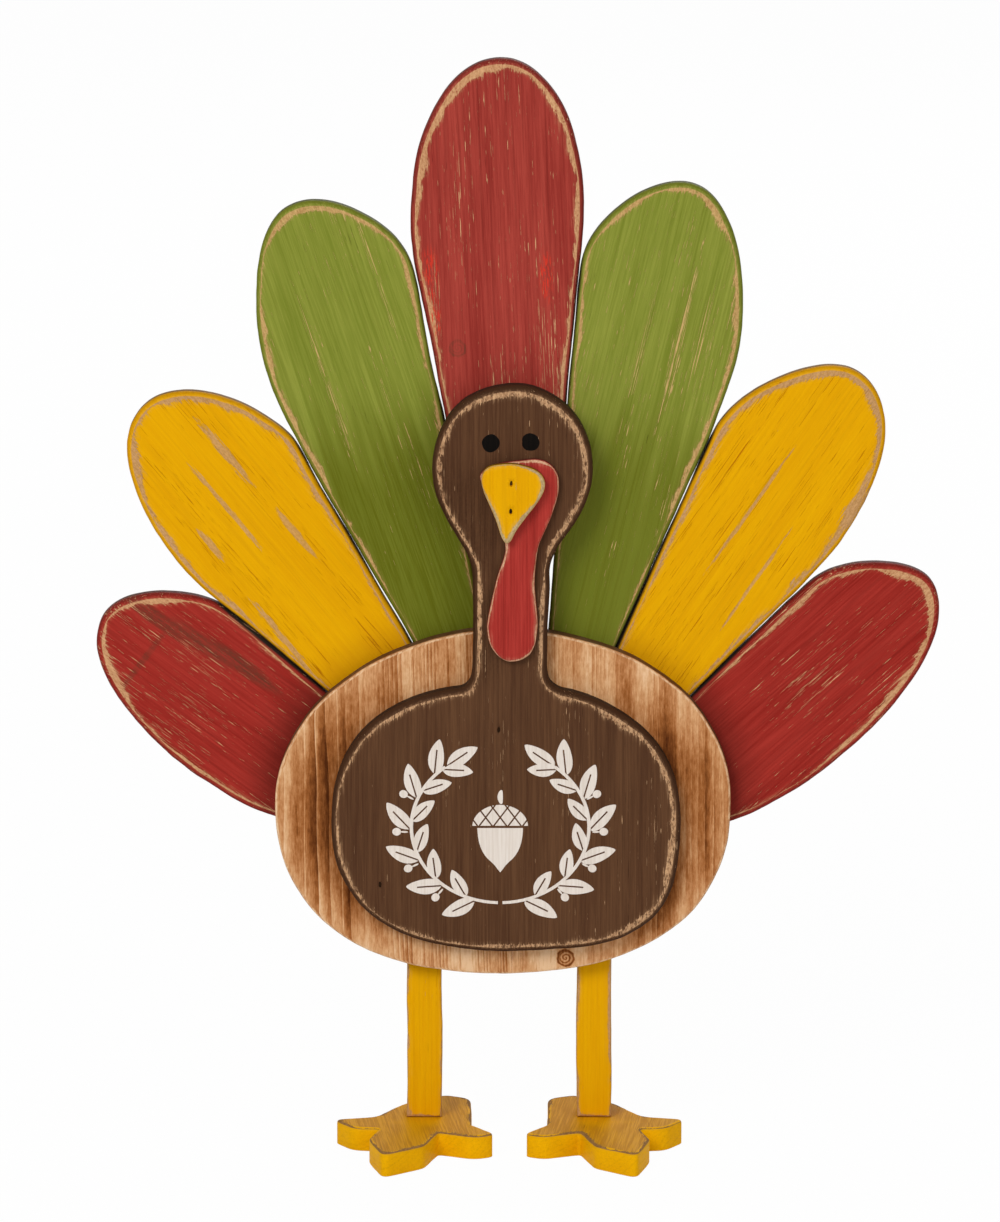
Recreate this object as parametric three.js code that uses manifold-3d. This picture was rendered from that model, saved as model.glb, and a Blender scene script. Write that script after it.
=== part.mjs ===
// A standing turkey for a Thanksgiving table, cut from flat boards that are fastened in layers.
// Lengths are millimetres and +Z is up. The face looks along -Y. The back of the body panel is
// the plane y = 0, the body's centre line is x = 0, and the soles of the feet are z = 0.
// The finished figure is moved so that its box stands centred on the origin.

import * as THREE from 'three';
import { mergeVertices } from 'three/addons/utils/BufferGeometryUtils.js';
import Module from 'manifold-3d';

// Gaps and allowances
const glueLine = 0.3;
const drillClearance = 0.3;
const cutOverrun = 6;
const mergeDistance = 0.0001;

// Feet: flat boards, one the mirror of the other
const footLength = 127.5;
const footThickness = 13.5;
const footRound = 2.2;
// Each row: share outward, share forward and corner radius share, of the foot's length, from the leg
const footShares = [
  [-0.086, -0.314, 0.05],
  [-0.2, -0.251, 0.07],
  [-0.206, 0.188, 0.03],
  [-0.31, 0.338, 0.032],
  [-0.22, 0.388, 0.09],
  [-0.063, 0.314, 0.016],
  [0, 0.533, 0.08],
  [0.176, 0.686, 0.03],
  [0.241, 0.424, 0.12],
  [0.198, 0.255, 0.012],
  [0.314, 0.239, 0.09],
  [0.4, 0.098, 0.03],
  [0.212, 0.055, 0.09],
  [0.094, -0.165, 0.14],
];

// Legs: square strips behind the body, standing on the feet
const legWidth = 19.4;
const legSpacing = 94.6;
const legShift = 3.5;
const legShown = 85.6;
const legLap = 57;
const legEdgeRound = 1.6;
const legScrewInset = 14;
const legScrewPitch = 26;

// Body: an oval panel, edge-glued from two boards
const bodyHalfWidth = 126;
const bodyRise = 95.8;
const bodyDrop = 99.1;
const bodyThickness = 12;
const bodyRound = 3;
const bodySeamShift = 5;
const bodyPowers = { rightUp: 2.04, leftUp: 1.9, leftDown: 2.4, rightDown: 2.34 };

// Head board: belly, neck and head cut in one, in front of the body
const headBoardThickness = 12;
const headBoardRound = 4.2;
const bellyHalfWidth = 96.5;
const bellyRise = 75.5;
const bellyDrop = 75.2;
const bellyShift = 1.6;
const bellySink = 8.5;
const bellyPowers = { rightUp: 2.18, leftUp: 2.28, leftDown: 2.4, rightDown: 3.05 };
const neckHalfWidth = 20.4;
const neckShift = 3.8;
const neckLength = 62.5;
const neckFillet = 6.4;
const headHalfWidth = 44;
const headRise = 46.8;
const headDrop = 58;
const headShift = 5.2;
const headPowers = { rightUp: 2.04, leftUp: 2.08 };
const neckHandleShare = 0.27;
const cheekHandleShare = 0.48;

// Wattle: a hanging lobe glued to the head, behind the beak
const wattleThickness = 5;
const wattleRound = 2;
const wattleLength = 115;
const wattleShift = 3;
const wattleTop = 6.1;
// Each row: share to the right and share upward of the wattle's length, from its top middle
const wattleShares = [
  [0.02, 0.006],
  [0.115, 0.008],
  [0.182, -0.045],
  [0.193, -0.135],
  [0.15, -0.282],
  [0.096, -0.412],
  [0.08, -0.582],
  [0.09, -0.812],
  [0.062, -0.937],
  [-0.025, -0.982],
  [-0.108, -0.937],
  [-0.15, -0.832],
  [-0.13, -0.702],
  [-0.09, -0.532],
  [-0.058, -0.422],
  [-0.09, -0.302],
  [-0.155, -0.182],
  [-0.18, -0.077],
  [-0.12, -0.017],
];

// Beak: a rounded triangle glued and nailed over the wattle
const beakThickness = 6;
const beakRound = 2;
const beakHeight = 45.2;
const beakShift = 0.5;
const beakTop = 6.2;
// Each row: share to the right and share upward of the beak's height, from its top middle
const beakShares = [
  [-0.042, 0],
  [0.14, -0.035],
  [0.26, -0.08],
  [0.345, -0.15],
  [0.38, -0.248],
  [0.356, -0.358],
  [0.261, -0.513],
  [0.139, -0.673],
  [0.018, -0.845],
  [-0.038, -0.967],
  [-0.088, -0.996],
  [-0.13, -0.94],
  [-0.2, -0.723],
  [-0.283, -0.511],
  [-0.343, -0.352],
  [-0.38, -0.204],
  [-0.367, -0.104],
  [-0.307, -0.04],
  [-0.2, -0.013],
];

// Tail fan: seven feathers side by side, behind the body
const fanShift = 12.1;
const fanSink = 43.5;
const fanTilt = 2.45;
const nestGap = 0.4;
const featherThickness = 9.5;
const featherRound = 3.6;
const featherLap = 45;
const rootScrewInset = 12;
const rootScrewPitch = 20;
const centreScrewShift = 4.5;
// tipRadius is from the fan's pivot to the tip, and aside is how far outward the feather's axis
// passes the pivot. Of a side, half and root are half widths at its widest point and its root,
// drop is from the tip down to the widest point, fullness is how square its dome is, and ease
// is how gently it starts to taper
const centreFeather = {
  tipRadius: 455,
  aside: 0,
  tipLean: 5.5,
  inner: { half: 48.4, root: 7.5, drop: 80, fullness: 0.58, ease: 0.08 },
  outer: { half: 47.4, root: 7.5, drop: 92, fullness: 0.56, ease: 0.1 },
};
const innerFeather = {
  tipRadius: 396,
  aside: 0,
  tipLean: 1,
  inner: { half: 50.6, root: 15, drop: 54, fullness: 0.46, ease: 0.04 },
  outer: { half: 45.2, root: 10.5, drop: 95, fullness: 0.53, ease: 0.09 },
};
const middleFeather = {
  tipRadius: 335,
  aside: -6.5,
  tipLean: 0,
  inner: { half: 47.6, root: 16.5, drop: 66, fullness: 0.45, ease: 0.05 },
  outer: { half: 45.1, root: 16.5, drop: 84, fullness: 0.6, ease: 0.13 },
};
const outerFeather = {
  tipRadius: 275,
  aside: 26,
  tipLean: 0,
  inner: { half: 42.8, root: 33, drop: 50, fullness: 0.42, ease: 0.2 },
  outer: { half: 42.6, root: 22, drop: 94, fullness: 0.58, ease: 0.13 },
};

// Fasteners: countersunk wood screws from behind and below, and brads from the front
const screwShankRadius = 1.7;
const screwHeadRadius = 3.6;
const screwHeadDepth = 2.6;
const screwRimDepth = 0.4;
const screwPointLength = 4;
const screwSink = 0.4;
const featherScrewLength = 17;
const legScrewLength = 28;
const footScrewLength = 38;
const bradWidth = 1.2;
const bradDepth = 1.1;
const bradHeadDepth = 2.4;
const bradHeadThickness = 0.8;
const bradLength = 19;
const bradSink = 0.2;
const beakBradTop = 10.8;
const beakBradPitch = 15.6;
const beakBradShift = -1.5;
// Each row: share of the belly's half width to the right and share of its rise up, from its middle
const bellyBradShares = [
  [-0.04, 0.67],
  [-0.72, -0.49],
];

// How finely curves are cut
const ovalSteps = 72;
const domeSteps = 10;
const taperSteps = 7;
const filletSteps = 4;
const roundSteps = 3;
const splineSteps = 44;
const screwSides = 12;
const nestSamples = 400;
const nestPasses = 8;
const searchPasses = 40;

// Heights and depths that follow from the sizes above
const footTop = footThickness;
const legBottom = footTop + glueLine;
const bodyBottom = legBottom + legShown;
const bodyCentre = bodyBottom + bodyDrop;
const legTop = bodyBottom + legLap;
const layerBehind = glueLine;
const bodyFront = -bodyThickness;
const headBoardBack = bodyFront - glueLine;
const headBoardFront = headBoardBack - headBoardThickness;
const wattleBack = headBoardFront - glueLine;
const wattleFront = wattleBack - wattleThickness;
const beakBack = wattleFront - glueLine;
const beakFront = beakBack - beakThickness;
const bellyCentre = bodyCentre - bellySink;
const neckBottom = bellyCentre + bellyRise;
const neckTop = neckBottom + neckLength;
const headCentre = neckTop + headDrop;

const material = (color, roughness, metalness = 0) =>
  new THREE.MeshStandardMaterial({ color, roughness, metalness });
const redPaint = () => material('#8f2424', 0.6);
const greenPaint = () => material('#6f8230', 0.6);
const yellowPaint = () => material('#dda20e', 0.55);
const brownPaint = () => material('#523a2c', 0.65);
const torchedPine = () => material('#b98350', 0.6);
const steel = () => material('#8d9093', 0.4, 0.9);

const wasm = await Module();
wasm.setup();

// Closed geometry to a solid, and back
function toSolid(geometry) {
  const plain = geometry.clone();
  plain.deleteAttribute('normal');
  plain.deleteAttribute('uv');
  const merged = mergeVertices(plain, mergeDistance);
  const vertProperties = new Float32Array(merged.attributes.position.array);
  const triVerts = new Uint32Array(merged.index.array);
  return new wasm.Manifold(new wasm.Mesh({ numProp: 3, vertProperties, triVerts }));
}

function toGeometry(solid) {
  const { vertProperties, triVerts } = solid.getMesh();
  const geometry = new THREE.BufferGeometry();
  geometry.setAttribute('position', new THREE.BufferAttribute(vertProperties, 3));
  geometry.setIndex(new THREE.BufferAttribute(triVerts, 1));
  return geometry;
}

function cutAll(solid, cutters) {
  return cutters.reduce((rest, cutter) => rest.subtract(cutter), solid);
}

// Outlines are closed lists of points, counter-clockwise
function superPoint(halfWidth, halfHeight, power, angle) {
  const cos = Math.cos(angle);
  const sin = Math.sin(angle);
  const x = halfWidth * Math.sign(cos) * Math.abs(cos) ** (2 / power);
  const y = halfHeight * Math.sign(sin) * Math.abs(sin) ** (2 / power);
  return new THREE.Vector2(x, y);
}

function ovalPoint(oval, angle) {
  const right = Math.cos(angle) >= 0;
  const up = Math.sin(angle) >= 0;
  const side = right ? 'right' : 'left';
  const power = oval.powers[side + (up ? 'Up' : 'Down')];
  return superPoint(oval.halfWidth, up ? oval.rise : oval.drop, power, angle);
}

function ovalArc(oval, from, to, steps) {
  const points = [];
  for (let i = 0; i <= steps; i++) {
    points.push(ovalPoint(oval, from + ((to - from) * i) / steps));
  }
  return points;
}

function corner(before, at, after, radius) {
  const inward = before.clone().sub(at);
  const outward = after.clone().sub(at);
  const half = Math.abs(inward.angleTo(outward)) / 2;
  const longest = Math.min(inward.length(), outward.length()) / 2;
  const reach = Math.min(radius / Math.tan(half), longest);
  const start = at.clone().add(inward.setLength(reach));
  const end = at.clone().add(outward.setLength(reach));
  return new THREE.QuadraticBezierCurve(start, at, end).getPoints(filletSteps);
}

function roundedOutline(corners) {
  return corners.flatMap(({ at, radius }, i) => {
    const before = corners[(i + corners.length - 1) % corners.length].at;
    const after = corners[(i + 1) % corners.length].at;
    return corner(before, at, after, radius);
  });
}

function mirrored(outline) {
  return outline.map((point) => new THREE.Vector2(-point.x, point.y)).reverse();
}

// A board lies in the outline's plane, from 0 up to its thickness, with its upper edge rounded
function boardSolid(outline, thickness, round) {
  const geometry = new THREE.ExtrudeGeometry(new THREE.Shape(outline), {
    depth: thickness - round,
    bevelEnabled: true,
    bevelThickness: round,
    bevelSize: round,
    bevelOffset: -round,
    bevelSegments: roundSteps,
  });
  geometry.computeBoundingBox();
  const size = geometry.boundingBox.getSize(new THREE.Vector3());
  const centre = geometry.boundingBox.getCenter(new THREE.Vector3());
  const below = new THREE.BoxGeometry(size.x + cutOverrun, size.y + cutOverrun, cutOverrun);
  below.translate(centre.x, centre.y, -cutOverrun / 2);
  return toSolid(geometry).subtract(toSolid(below));
}

// Stands a board up: its plane becomes XZ and its rounded face looks along -Y
function uprightBoard(outline, thickness, round, back) {
  const geometry = toGeometry(boardSolid(outline, thickness, round));
  geometry.rotateX(Math.PI / 2);
  geometry.translate(0, back, 0);
  return toSolid(geometry);
}

function named(name, geometry, finish) {
  const mesh = new THREE.Mesh(geometry, finish);
  mesh.name = name;
  return mesh;
}

// A screw points along -Y with the top of its head at the origin
function screwGeometry(length, grow) {
  const top = grow > 0 ? cutOverrun : 0;
  const profile = [
    [0, -length - grow],
    [screwShankRadius + grow, -length + screwPointLength - grow],
    [screwShankRadius + grow, -screwHeadDepth - grow],
    [screwHeadRadius + grow, -screwRimDepth - grow],
    [screwHeadRadius + grow, top],
    [0, top],
  ];
  return new THREE.LatheGeometry(profile.map(([x, y]) => new THREE.Vector2(x, y)), screwSides);
}

// A brad's section is a T that is wide along Z, and it points along +Y from its head
function bradGeometry(grow) {
  const top = grow > 0 ? -cutOverrun : 0;
  const halfHead = bradHeadDepth / 2 + grow;
  const halfShank = bradDepth / 2 + grow;
  const shoulder = bradHeadThickness + grow;
  const tip = bradLength + grow;
  const section = new THREE.Shape([
    new THREE.Vector2(top, -halfHead),
    new THREE.Vector2(shoulder, -halfHead),
    new THREE.Vector2(shoulder, -halfShank),
    new THREE.Vector2(tip, -halfShank),
    new THREE.Vector2(tip, halfShank),
    new THREE.Vector2(shoulder, halfShank),
    new THREE.Vector2(shoulder, halfHead),
    new THREE.Vector2(top, halfHead),
  ]);
  const depth = bradWidth + 2 * grow;
  const geometry = new THREE.ExtrudeGeometry(section, { depth, bevelEnabled: false });
  geometry.translate(0, 0, -depth / 2);
  geometry.rotateZ(Math.PI / 2);
  geometry.rotateY(Math.PI / 2);
  return geometry;
}

// Each fastener carries the hole that it needs, so every board that it crosses is cut alike
function fastener(name, geometry, hole, position) {
  const mesh = named(name, geometry, steel());
  mesh.position.copy(position);
  mesh.userData.hole = hole;
  return mesh;
}

function screw(name, length, position) {
  const hole = screwGeometry(length, drillClearance);
  return fastener(name, screwGeometry(length, 0), hole, position);
}

function brad(name, position) {
  return fastener(name, bradGeometry(0), bradGeometry(drillClearance), position);
}

function holesOf(fasteners, frame = new THREE.Matrix4()) {
  return fasteners.map((mesh) => {
    const hole = mesh.userData.hole.clone();
    return toSolid(hole.applyMatrix4(frame.clone().multiply(mesh.matrixWorld)));
  });
}

// Feathers, in the fan's plane: x is sideways and y is the distance out from the fan's pivot
function dome(feather, side, tip, sign) {
  const { half, drop, fullness } = feather[side];
  const lean = new THREE.Vector2(sign * half, tip.y - drop);
  const tipHandle = new THREE.Vector2(tip.x + (lean.x - tip.x) * fullness, tip.y);
  const sideHandle = new THREE.Vector2(lean.x, lean.y + drop * fullness);
  return new THREE.CubicBezierCurve(lean, sideHandle, tipHandle, tip).getPoints(domeSteps);
}

function taper(widest, root, ease) {
  const length = widest.y - root.y;
  const upper = new THREE.Vector2(widest.x, widest.y - length * ease);
  const lower = root.clone().lerp(widest, 1 / 3);
  return new THREE.CubicBezierCurve(root, lower, upper, widest).getPoints(taperSteps);
}

// One side of a feather from its root to its tip; sign is +1 for the inner side
function featherSide(feather, rootRadius, side, sign) {
  const tip = new THREE.Vector2(feather.tipLean, feather.tipRadius);
  const top = dome(feather, side, tip, sign);
  const root = new THREE.Vector2(sign * feather[side].root, rootRadius);
  const points = [...taper(top[0], root, feather[side].ease), ...top.slice(1)];
  return points.map((point) => new THREE.Vector2(point.x - feather.aside, point.y));
}

function widestAngle(side, radius) {
  let widest = -Infinity;
  for (let i = 1; i < side.length; i++) {
    const [from, to] = [side[i - 1], side[i]];
    const [near, far] = [from.length(), to.length()];
    if (radius < Math.min(near, far) || radius > Math.max(near, far) || near === far) continue;
    const share = (radius - near) / (far - near);
    const start = Math.atan2(from.x, from.y);
    widest = Math.max(widest, start + share * (Math.atan2(to.x, to.y) - start));
  }
  return widest;
}

// The least turn about the pivot that keeps the nest gap between two neighbouring sides
function nestTurn(outerSide, innerSide) {
  const near = Math.max(outerSide[0].length(), innerSide[0].length());
  const far = Math.min(outerSide.at(-1).length(), innerSide.at(-1).length());
  let turn = 0;
  for (let i = 0; i <= nestSamples; i++) {
    const radius = near + ((far - near) * i) / nestSamples;
    const together = widestAngle(outerSide, radius) + widestAngle(innerSide, radius);
    turn = Math.max(turn, together + nestGap / radius);
  }
  return turn;
}

const bodyOval = {
  halfWidth: bodyHalfWidth,
  rise: bodyRise,
  drop: bodyDrop,
  powers: bodyPowers,
};

function insideBody(x, z) {
  const side = x >= 0 ? 'right' : 'left';
  const up = z >= 0;
  const power = bodyPowers[side + (up ? 'Up' : 'Down')];
  const across = Math.abs(x) / bodyHalfWidth;
  const along = Math.abs(z) / (up ? bodyRise : bodyDrop);
  return across ** power + along ** power < 1;
}

// Where a feather's axis leaves the body panel, as a distance from the pivot
function bodyEdgeAlong(angle, sideways) {
  const lean = angle + THREE.MathUtils.degToRad(fanTilt);
  let near = 0;
  let far = bodyHalfWidth + bodyRise + fanSink;
  for (let i = 0; i < searchPasses; i++) {
    const middle = (near + far) / 2;
    const x = fanShift + sideways * Math.cos(lean) - middle * Math.sin(lean);
    const z = -fanSink + sideways * Math.sin(lean) + middle * Math.cos(lean);
    if (insideBody(x, z)) near = middle;
    else far = middle;
  }
  return near;
}

// A turn is counter-clockwise seen from the front. way is +1 for the feathers that are turned to
// the left, whose inner sides are on their right, and -1 for those turned to the right
function rootRadiusAt(feather, turn, way) {
  return bodyEdgeAlong(turn, -way * feather.aside) - featherLap;
}

// The places of a pair of feathers, mirror images of each other, outside their two neighbours
function nestPair(neighbours, feather) {
  let { root } = neighbours[0];
  let places = [];
  for (let i = 0; i < nestPasses; i++) {
    const inner = featherSide(feather, root, 'inner', 1);
    const outward = flipped(featherSide(feather, root, 'outer', -1));
    places = neighbours.map((beside) => {
      const turn = beside.turn + beside.way * nestTurn(beside.outward, inner);
      return { feather, way: beside.way, turn, root, outward };
    });
    root = Math.min(...places.map(({ turn, way }) => rootRadiusAt(feather, turn, way)));
  }
  return places;
}

function flipped(side) {
  return side.map((point) => new THREE.Vector2(-point.x, point.y));
}

// The centre feather, as the neighbour of the pair on its left and on its right
function centrePlaces() {
  const feather = centreFeather;
  const root = rootRadiusAt(feather, 0, 1);
  const toLeft = flipped(featherSide(feather, root, 'outer', -1));
  const toRight = featherSide(feather, root, 'inner', 1);
  return [
    { feather, way: 1, turn: 0, root, outward: toLeft },
    { feather, way: -1, turn: 0, root, outward: toRight },
  ];
}

function featherOutline({ feather, way, root }) {
  const inner = featherSide(feather, root, 'inner', 1);
  const outer = featherSide(feather, root, 'outer', -1);
  const outline = [...inner, ...outer.slice(0, -1).reverse()];
  return way > 0 ? outline : mirrored(outline);
}

function featherPiece(name, place, finish, screwShift) {
  const group = new THREE.Group();
  group.rotation.y = -place.turn;
  const back = layerBehind + featherThickness;
  const axis = -place.way * place.feather.aside;
  const screws = [0, 1].map((i) => {
    const up = place.root + rootScrewInset + i * rootScrewPitch;
    const at = new THREE.Vector3(axis + screwShift, back - screwSink, up);
    return screw(`${name}_screw_${i + 1}`, featherScrewLength, at);
  });
  screws.forEach((mesh) => mesh.updateMatrixWorld());
  const blank = uprightBoard(featherOutline(place), featherThickness, featherRound, back);
  const board = named(name, toGeometry(cutAll(blank, holesOf(screws))), finish);
  group.add(board, ...screws);
  return { group, screws };
}

function tailFan() {
  const fan = new THREE.Group();
  fan.position.set(fanShift, 0, bodyCentre - fanSink);
  fan.rotation.y = -THREE.MathUtils.degToRad(fanTilt);
  let places = centrePlaces();
  const centre = featherPiece('tail_feather_centre', places[0], redPaint(), centreScrewShift);
  const pieces = [centre];
  const kinds = [
    ['inner', innerFeather, greenPaint],
    ['middle', middleFeather, yellowPaint],
    ['outer', outerFeather, redPaint],
  ];
  for (const [kind, feather, finish] of kinds) {
    places = nestPair(places, feather);
    for (const place of places) {
      const side = place.way > 0 ? 'left' : 'right';
      pieces.push(featherPiece(`tail_feather_${side}_${kind}`, place, finish(), 0));
    }
  }
  fan.add(...pieces.map((piece) => piece.group));
  return { fan, screws: pieces.flatMap((piece) => piece.screws) };
}

// hand is -1 for the left leg and +1 for the right one
function legCentre(hand) {
  return legShift + (hand * legSpacing) / 2;
}

function leg(side, hand) {
  const half = legWidth / 2;
  const middle = layerBehind + half;
  const square = [[-half, -half], [half, -half], [half, half], [-half, half]];
  const corners = square.map(([x, y]) => ({ at: new THREE.Vector2(x, y), radius: legEdgeRound }));
  const section = new THREE.Shape(roundedOutline(corners));
  const depth = legTop - legBottom;
  const geometry = new THREE.ExtrudeGeometry(section, { depth, bevelEnabled: false });
  geometry.translate(legCentre(hand), middle, legBottom);
  const back = layerBehind + legWidth - screwSink;
  const screws = [0, 1].map((i) => {
    const up = legTop - legScrewInset - i * legScrewPitch;
    const at = new THREE.Vector3(legCentre(hand), back, up);
    return screw(`${side}_leg_screw_${i + 1}`, legScrewLength, at);
  });
  return { solid: toSolid(geometry), screws };
}

function footOutline(hand) {
  const corners = footShares.map(([outward, forward, radius]) => ({
    at: new THREE.Vector2(outward, -forward).multiplyScalar(footLength),
    radius: Math.max(radius * footLength, footRound),
  }));
  const outline = roundedOutline(corners);
  return hand > 0 ? outline : mirrored(outline);
}

function foot(side, hand) {
  const middle = layerBehind + legWidth / 2;
  const geometry = toGeometry(boardSolid(footOutline(hand), footThickness, footRound));
  geometry.translate(legCentre(hand), middle, 0);
  const at = new THREE.Vector3(legCentre(hand), middle, screwSink);
  const footScrew = screw(`${side}_foot_screw`, footScrewLength, at);
  footScrew.rotation.x = -Math.PI / 2;
  return { solid: toSolid(geometry), screws: [footScrew] };
}

function legAndFoot(side, hand) {
  const upper = leg(side, hand);
  const lower = foot(side, hand);
  const screws = [...upper.screws, ...lower.screws];
  screws.forEach((mesh) => mesh.updateMatrixWorld());
  const legMesh = named(
    `${side}_leg`, toGeometry(cutAll(upper.solid, holesOf(screws))), yellowPaint());
  const footMesh = named(
    `${side}_foot`, toGeometry(cutAll(lower.solid, holesOf(lower.screws))), yellowPaint());
  return { meshes: [legMesh, footMesh, ...screws], screws: upper.screws };
}

// The two boards of the body panel, cut apart along the seam
function bodyBoards(fasteners) {
  const outline = ovalArc(bodyOval, 0, 2 * Math.PI, ovalSteps).slice(0, -1);
  const panel = uprightBoard(outline, bodyThickness, bodyRound, 0);
  const holes = holesOf(fasteners, new THREE.Matrix4().makeTranslation(0, 0, -bodyCentre));
  const drilled = cutAll(panel, holes);
  return [['left', 1], ['right', -1]].map(([side, wasteWay]) => {
    const width = 2 * bodyHalfWidth + cutOverrun;
    const waste = new THREE.BoxGeometry(width, 2 * bodyThickness + cutOverrun, 2 * width);
    waste.translate(bodySeamShift + (wasteWay * (width - glueLine)) / 2, 0, 0);
    const board = toGeometry(drilled.subtract(toSolid(waste)));
    const mesh = named(`body_board_${side}`, board, torchedPine());
    mesh.position.z = bodyCentre;
    return mesh;
  });
}

// Belly, neck and head as one outline, from the left of the neck round the belly and back
function headBoardOutline() {
  const belly = { halfWidth: bellyHalfWidth, rise: bellyRise, drop: bellyDrop, powers: bellyPowers };
  const head = { halfWidth: headHalfWidth, rise: headRise, drop: headDrop, powers: headPowers };
  const place = (point, x, z) => new THREE.Vector2(point.x + x, point.y + z);
  const neckLeft = neckShift - neckHalfWidth;
  const neckRight = neckShift + neckHalfWidth;
  const flank = ovalArc(belly, Math.PI / 2, (5 * Math.PI) / 2, ovalSteps)
    .map((point) => place(point, bellyShift, bellyCentre))
    .filter(({ x, y }) => y < bellyCentre || x < neckLeft - neckFillet || x > neckRight + neckFillet);
  const first = flank[0];
  const last = flank.at(-1);
  const fillet = (from, x) => {
    const end = new THREE.Vector2(x, neckBottom + neckFillet);
    const elbow = new THREE.Vector2(x, Math.max(from.y, neckBottom - neckFillet / 2));
    return new THREE.QuadraticBezierCurve(from, elbow, end).getPoints(filletSteps).slice(1);
  };
  const cheek = (neckX, side) => {
    const low = new THREE.Vector2(neckX, neckTop);
    const high = new THREE.Vector2(headShift + side * headHalfWidth, headCentre);
    const lower = new THREE.Vector2(low.x, low.y + headDrop * neckHandleShare);
    const upper = new THREE.Vector2(high.x, high.y - headDrop * cheekHandleShare);
    return new THREE.CubicBezierCurve(low, lower, upper, high).getPoints(domeSteps);
  };
  const crown = ovalArc(head, 0, Math.PI, ovalSteps / 3)
    .map((point) => place(point, headShift, headCentre))
    .slice(1, -1);
  return [
    ...flank,
    ...fillet(last, neckRight),
    ...cheek(neckRight, 1),
    ...crown,
    ...cheek(neckLeft, -1).reverse(),
    ...fillet(first, neckLeft).reverse(),
  ];
}

// A smooth closed outline through rows of shares, clockwise from the anchor at its top
function splineOutline(shares, length, anchor) {
  const points = shares.map(([x, z]) => new THREE.Vector3(x, z, 0).multiplyScalar(length));
  const curve = new THREE.CatmullRomCurve3(points, true, 'centripetal');
  const outline = curve.getSpacedPoints(splineSteps).slice(0, -1);
  return outline.map(({ x, y }) => new THREE.Vector2(anchor.x + x, anchor.y + y)).reverse();
}

function wattleOutline() {
  const anchor = new THREE.Vector2(headShift + wattleShift, headCentre + wattleTop);
  return splineOutline(wattleShares, wattleLength, anchor);
}

function beakOutline() {
  const anchor = new THREE.Vector2(headShift + beakShift, headCentre + beakTop);
  return splineOutline(beakShares, beakHeight, anchor);
}

function headPieces() {
  const beakBrads = [0, 1].map((i) => {
    const x = headShift + beakShift + beakBradShift;
    const z = headCentre + beakTop - beakBradTop - i * beakBradPitch;
    return brad(`beak_brad_${i + 1}`, new THREE.Vector3(x, beakFront + bradSink, z));
  });
  const bellyBrads = bellyBradShares.map(([aside, above], i) => {
    const x = bellyShift + aside * bellyHalfWidth;
    const z = bellyCentre + above * bellyRise;
    return brad(`belly_brad_${i + 1}`, new THREE.Vector3(x, headBoardFront + bradSink, z));
  });
  [...beakBrads, ...bellyBrads].forEach((mesh) => mesh.updateMatrixWorld());
  const beakHoles = holesOf(beakBrads);
  const bellyHoles = holesOf(bellyBrads);
  const headBoard = uprightBoard(
    headBoardOutline(), headBoardThickness, headBoardRound, headBoardBack);
  const wattle = uprightBoard(wattleOutline(), wattleThickness, wattleRound, wattleBack);
  const beak = uprightBoard(beakOutline(), beakThickness, beakRound, beakBack);
  const meshes = [
    named('head_board', toGeometry(cutAll(headBoard, [...beakHoles, ...bellyHoles])), brownPaint()),
    named('wattle', toGeometry(cutAll(wattle, beakHoles)), redPaint()),
    named('beak', toGeometry(cutAll(beak, beakHoles)), yellowPaint()),
  ];
  return { meshes: [...meshes, ...beakBrads, ...bellyBrads], brads: bellyBrads };
}

function buildFigure() {
  const figure = new THREE.Group();
  const tail = tailFan();
  const legs = [legAndFoot('left', -1), legAndFoot('right', 1)];
  const head = headPieces();
  figure.add(tail.fan, ...legs.flatMap((pair) => pair.meshes), ...head.meshes);
  figure.updateMatrixWorld(true);
  const intoBody = [...tail.screws, ...legs.flatMap((pair) => pair.screws), ...head.brads];
  figure.add(...bodyBoards(intoBody));
  return figure;
}

// Stands the figure on z = 0 with its box centred on the origin
function centred(figure) {
  const box = new THREE.Box3().setFromObject(figure, true);
  const middle = box.getCenter(new THREE.Vector3());
  figure.position.set(-middle.x, -middle.y, -box.min.z);
  const stand = new THREE.Group();
  stand.add(figure);
  return stand;
}

export default centred(buildFigure());
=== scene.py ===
# The looks of a wooden Thanksgiving turkey: boards with rounded and rubbed edges, screws,
# painted eyes and a painted belly design, a pale floor, soft lamps and the camera.
# Lengths in the constants are millimetres unless a name or a comment says otherwise.

import math
from types import SimpleNamespace

import bmesh
import bpy
import numpy as np
from bmesh import ops
from bmesh.types import BMEdge, BMFace, BMVert
from mathutils import Matrix, Vector, noise


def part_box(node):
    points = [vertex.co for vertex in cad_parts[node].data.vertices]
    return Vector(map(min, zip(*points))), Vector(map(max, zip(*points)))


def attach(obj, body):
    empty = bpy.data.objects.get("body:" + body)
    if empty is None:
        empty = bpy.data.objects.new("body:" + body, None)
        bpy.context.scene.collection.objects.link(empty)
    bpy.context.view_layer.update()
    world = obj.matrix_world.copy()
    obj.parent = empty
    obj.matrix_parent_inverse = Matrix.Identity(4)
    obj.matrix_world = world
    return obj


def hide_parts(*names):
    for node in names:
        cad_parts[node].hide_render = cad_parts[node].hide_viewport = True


MM = 0.001
ACROSS = Vector((1, 0, 0))
FRONT = Vector((0, -1, 0))
UP = Vector((0, 0, 1))
# Up in shapes that are drawn flat before they are stood upright
DRAWN_UP = Vector((0, 1, 0))

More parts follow.
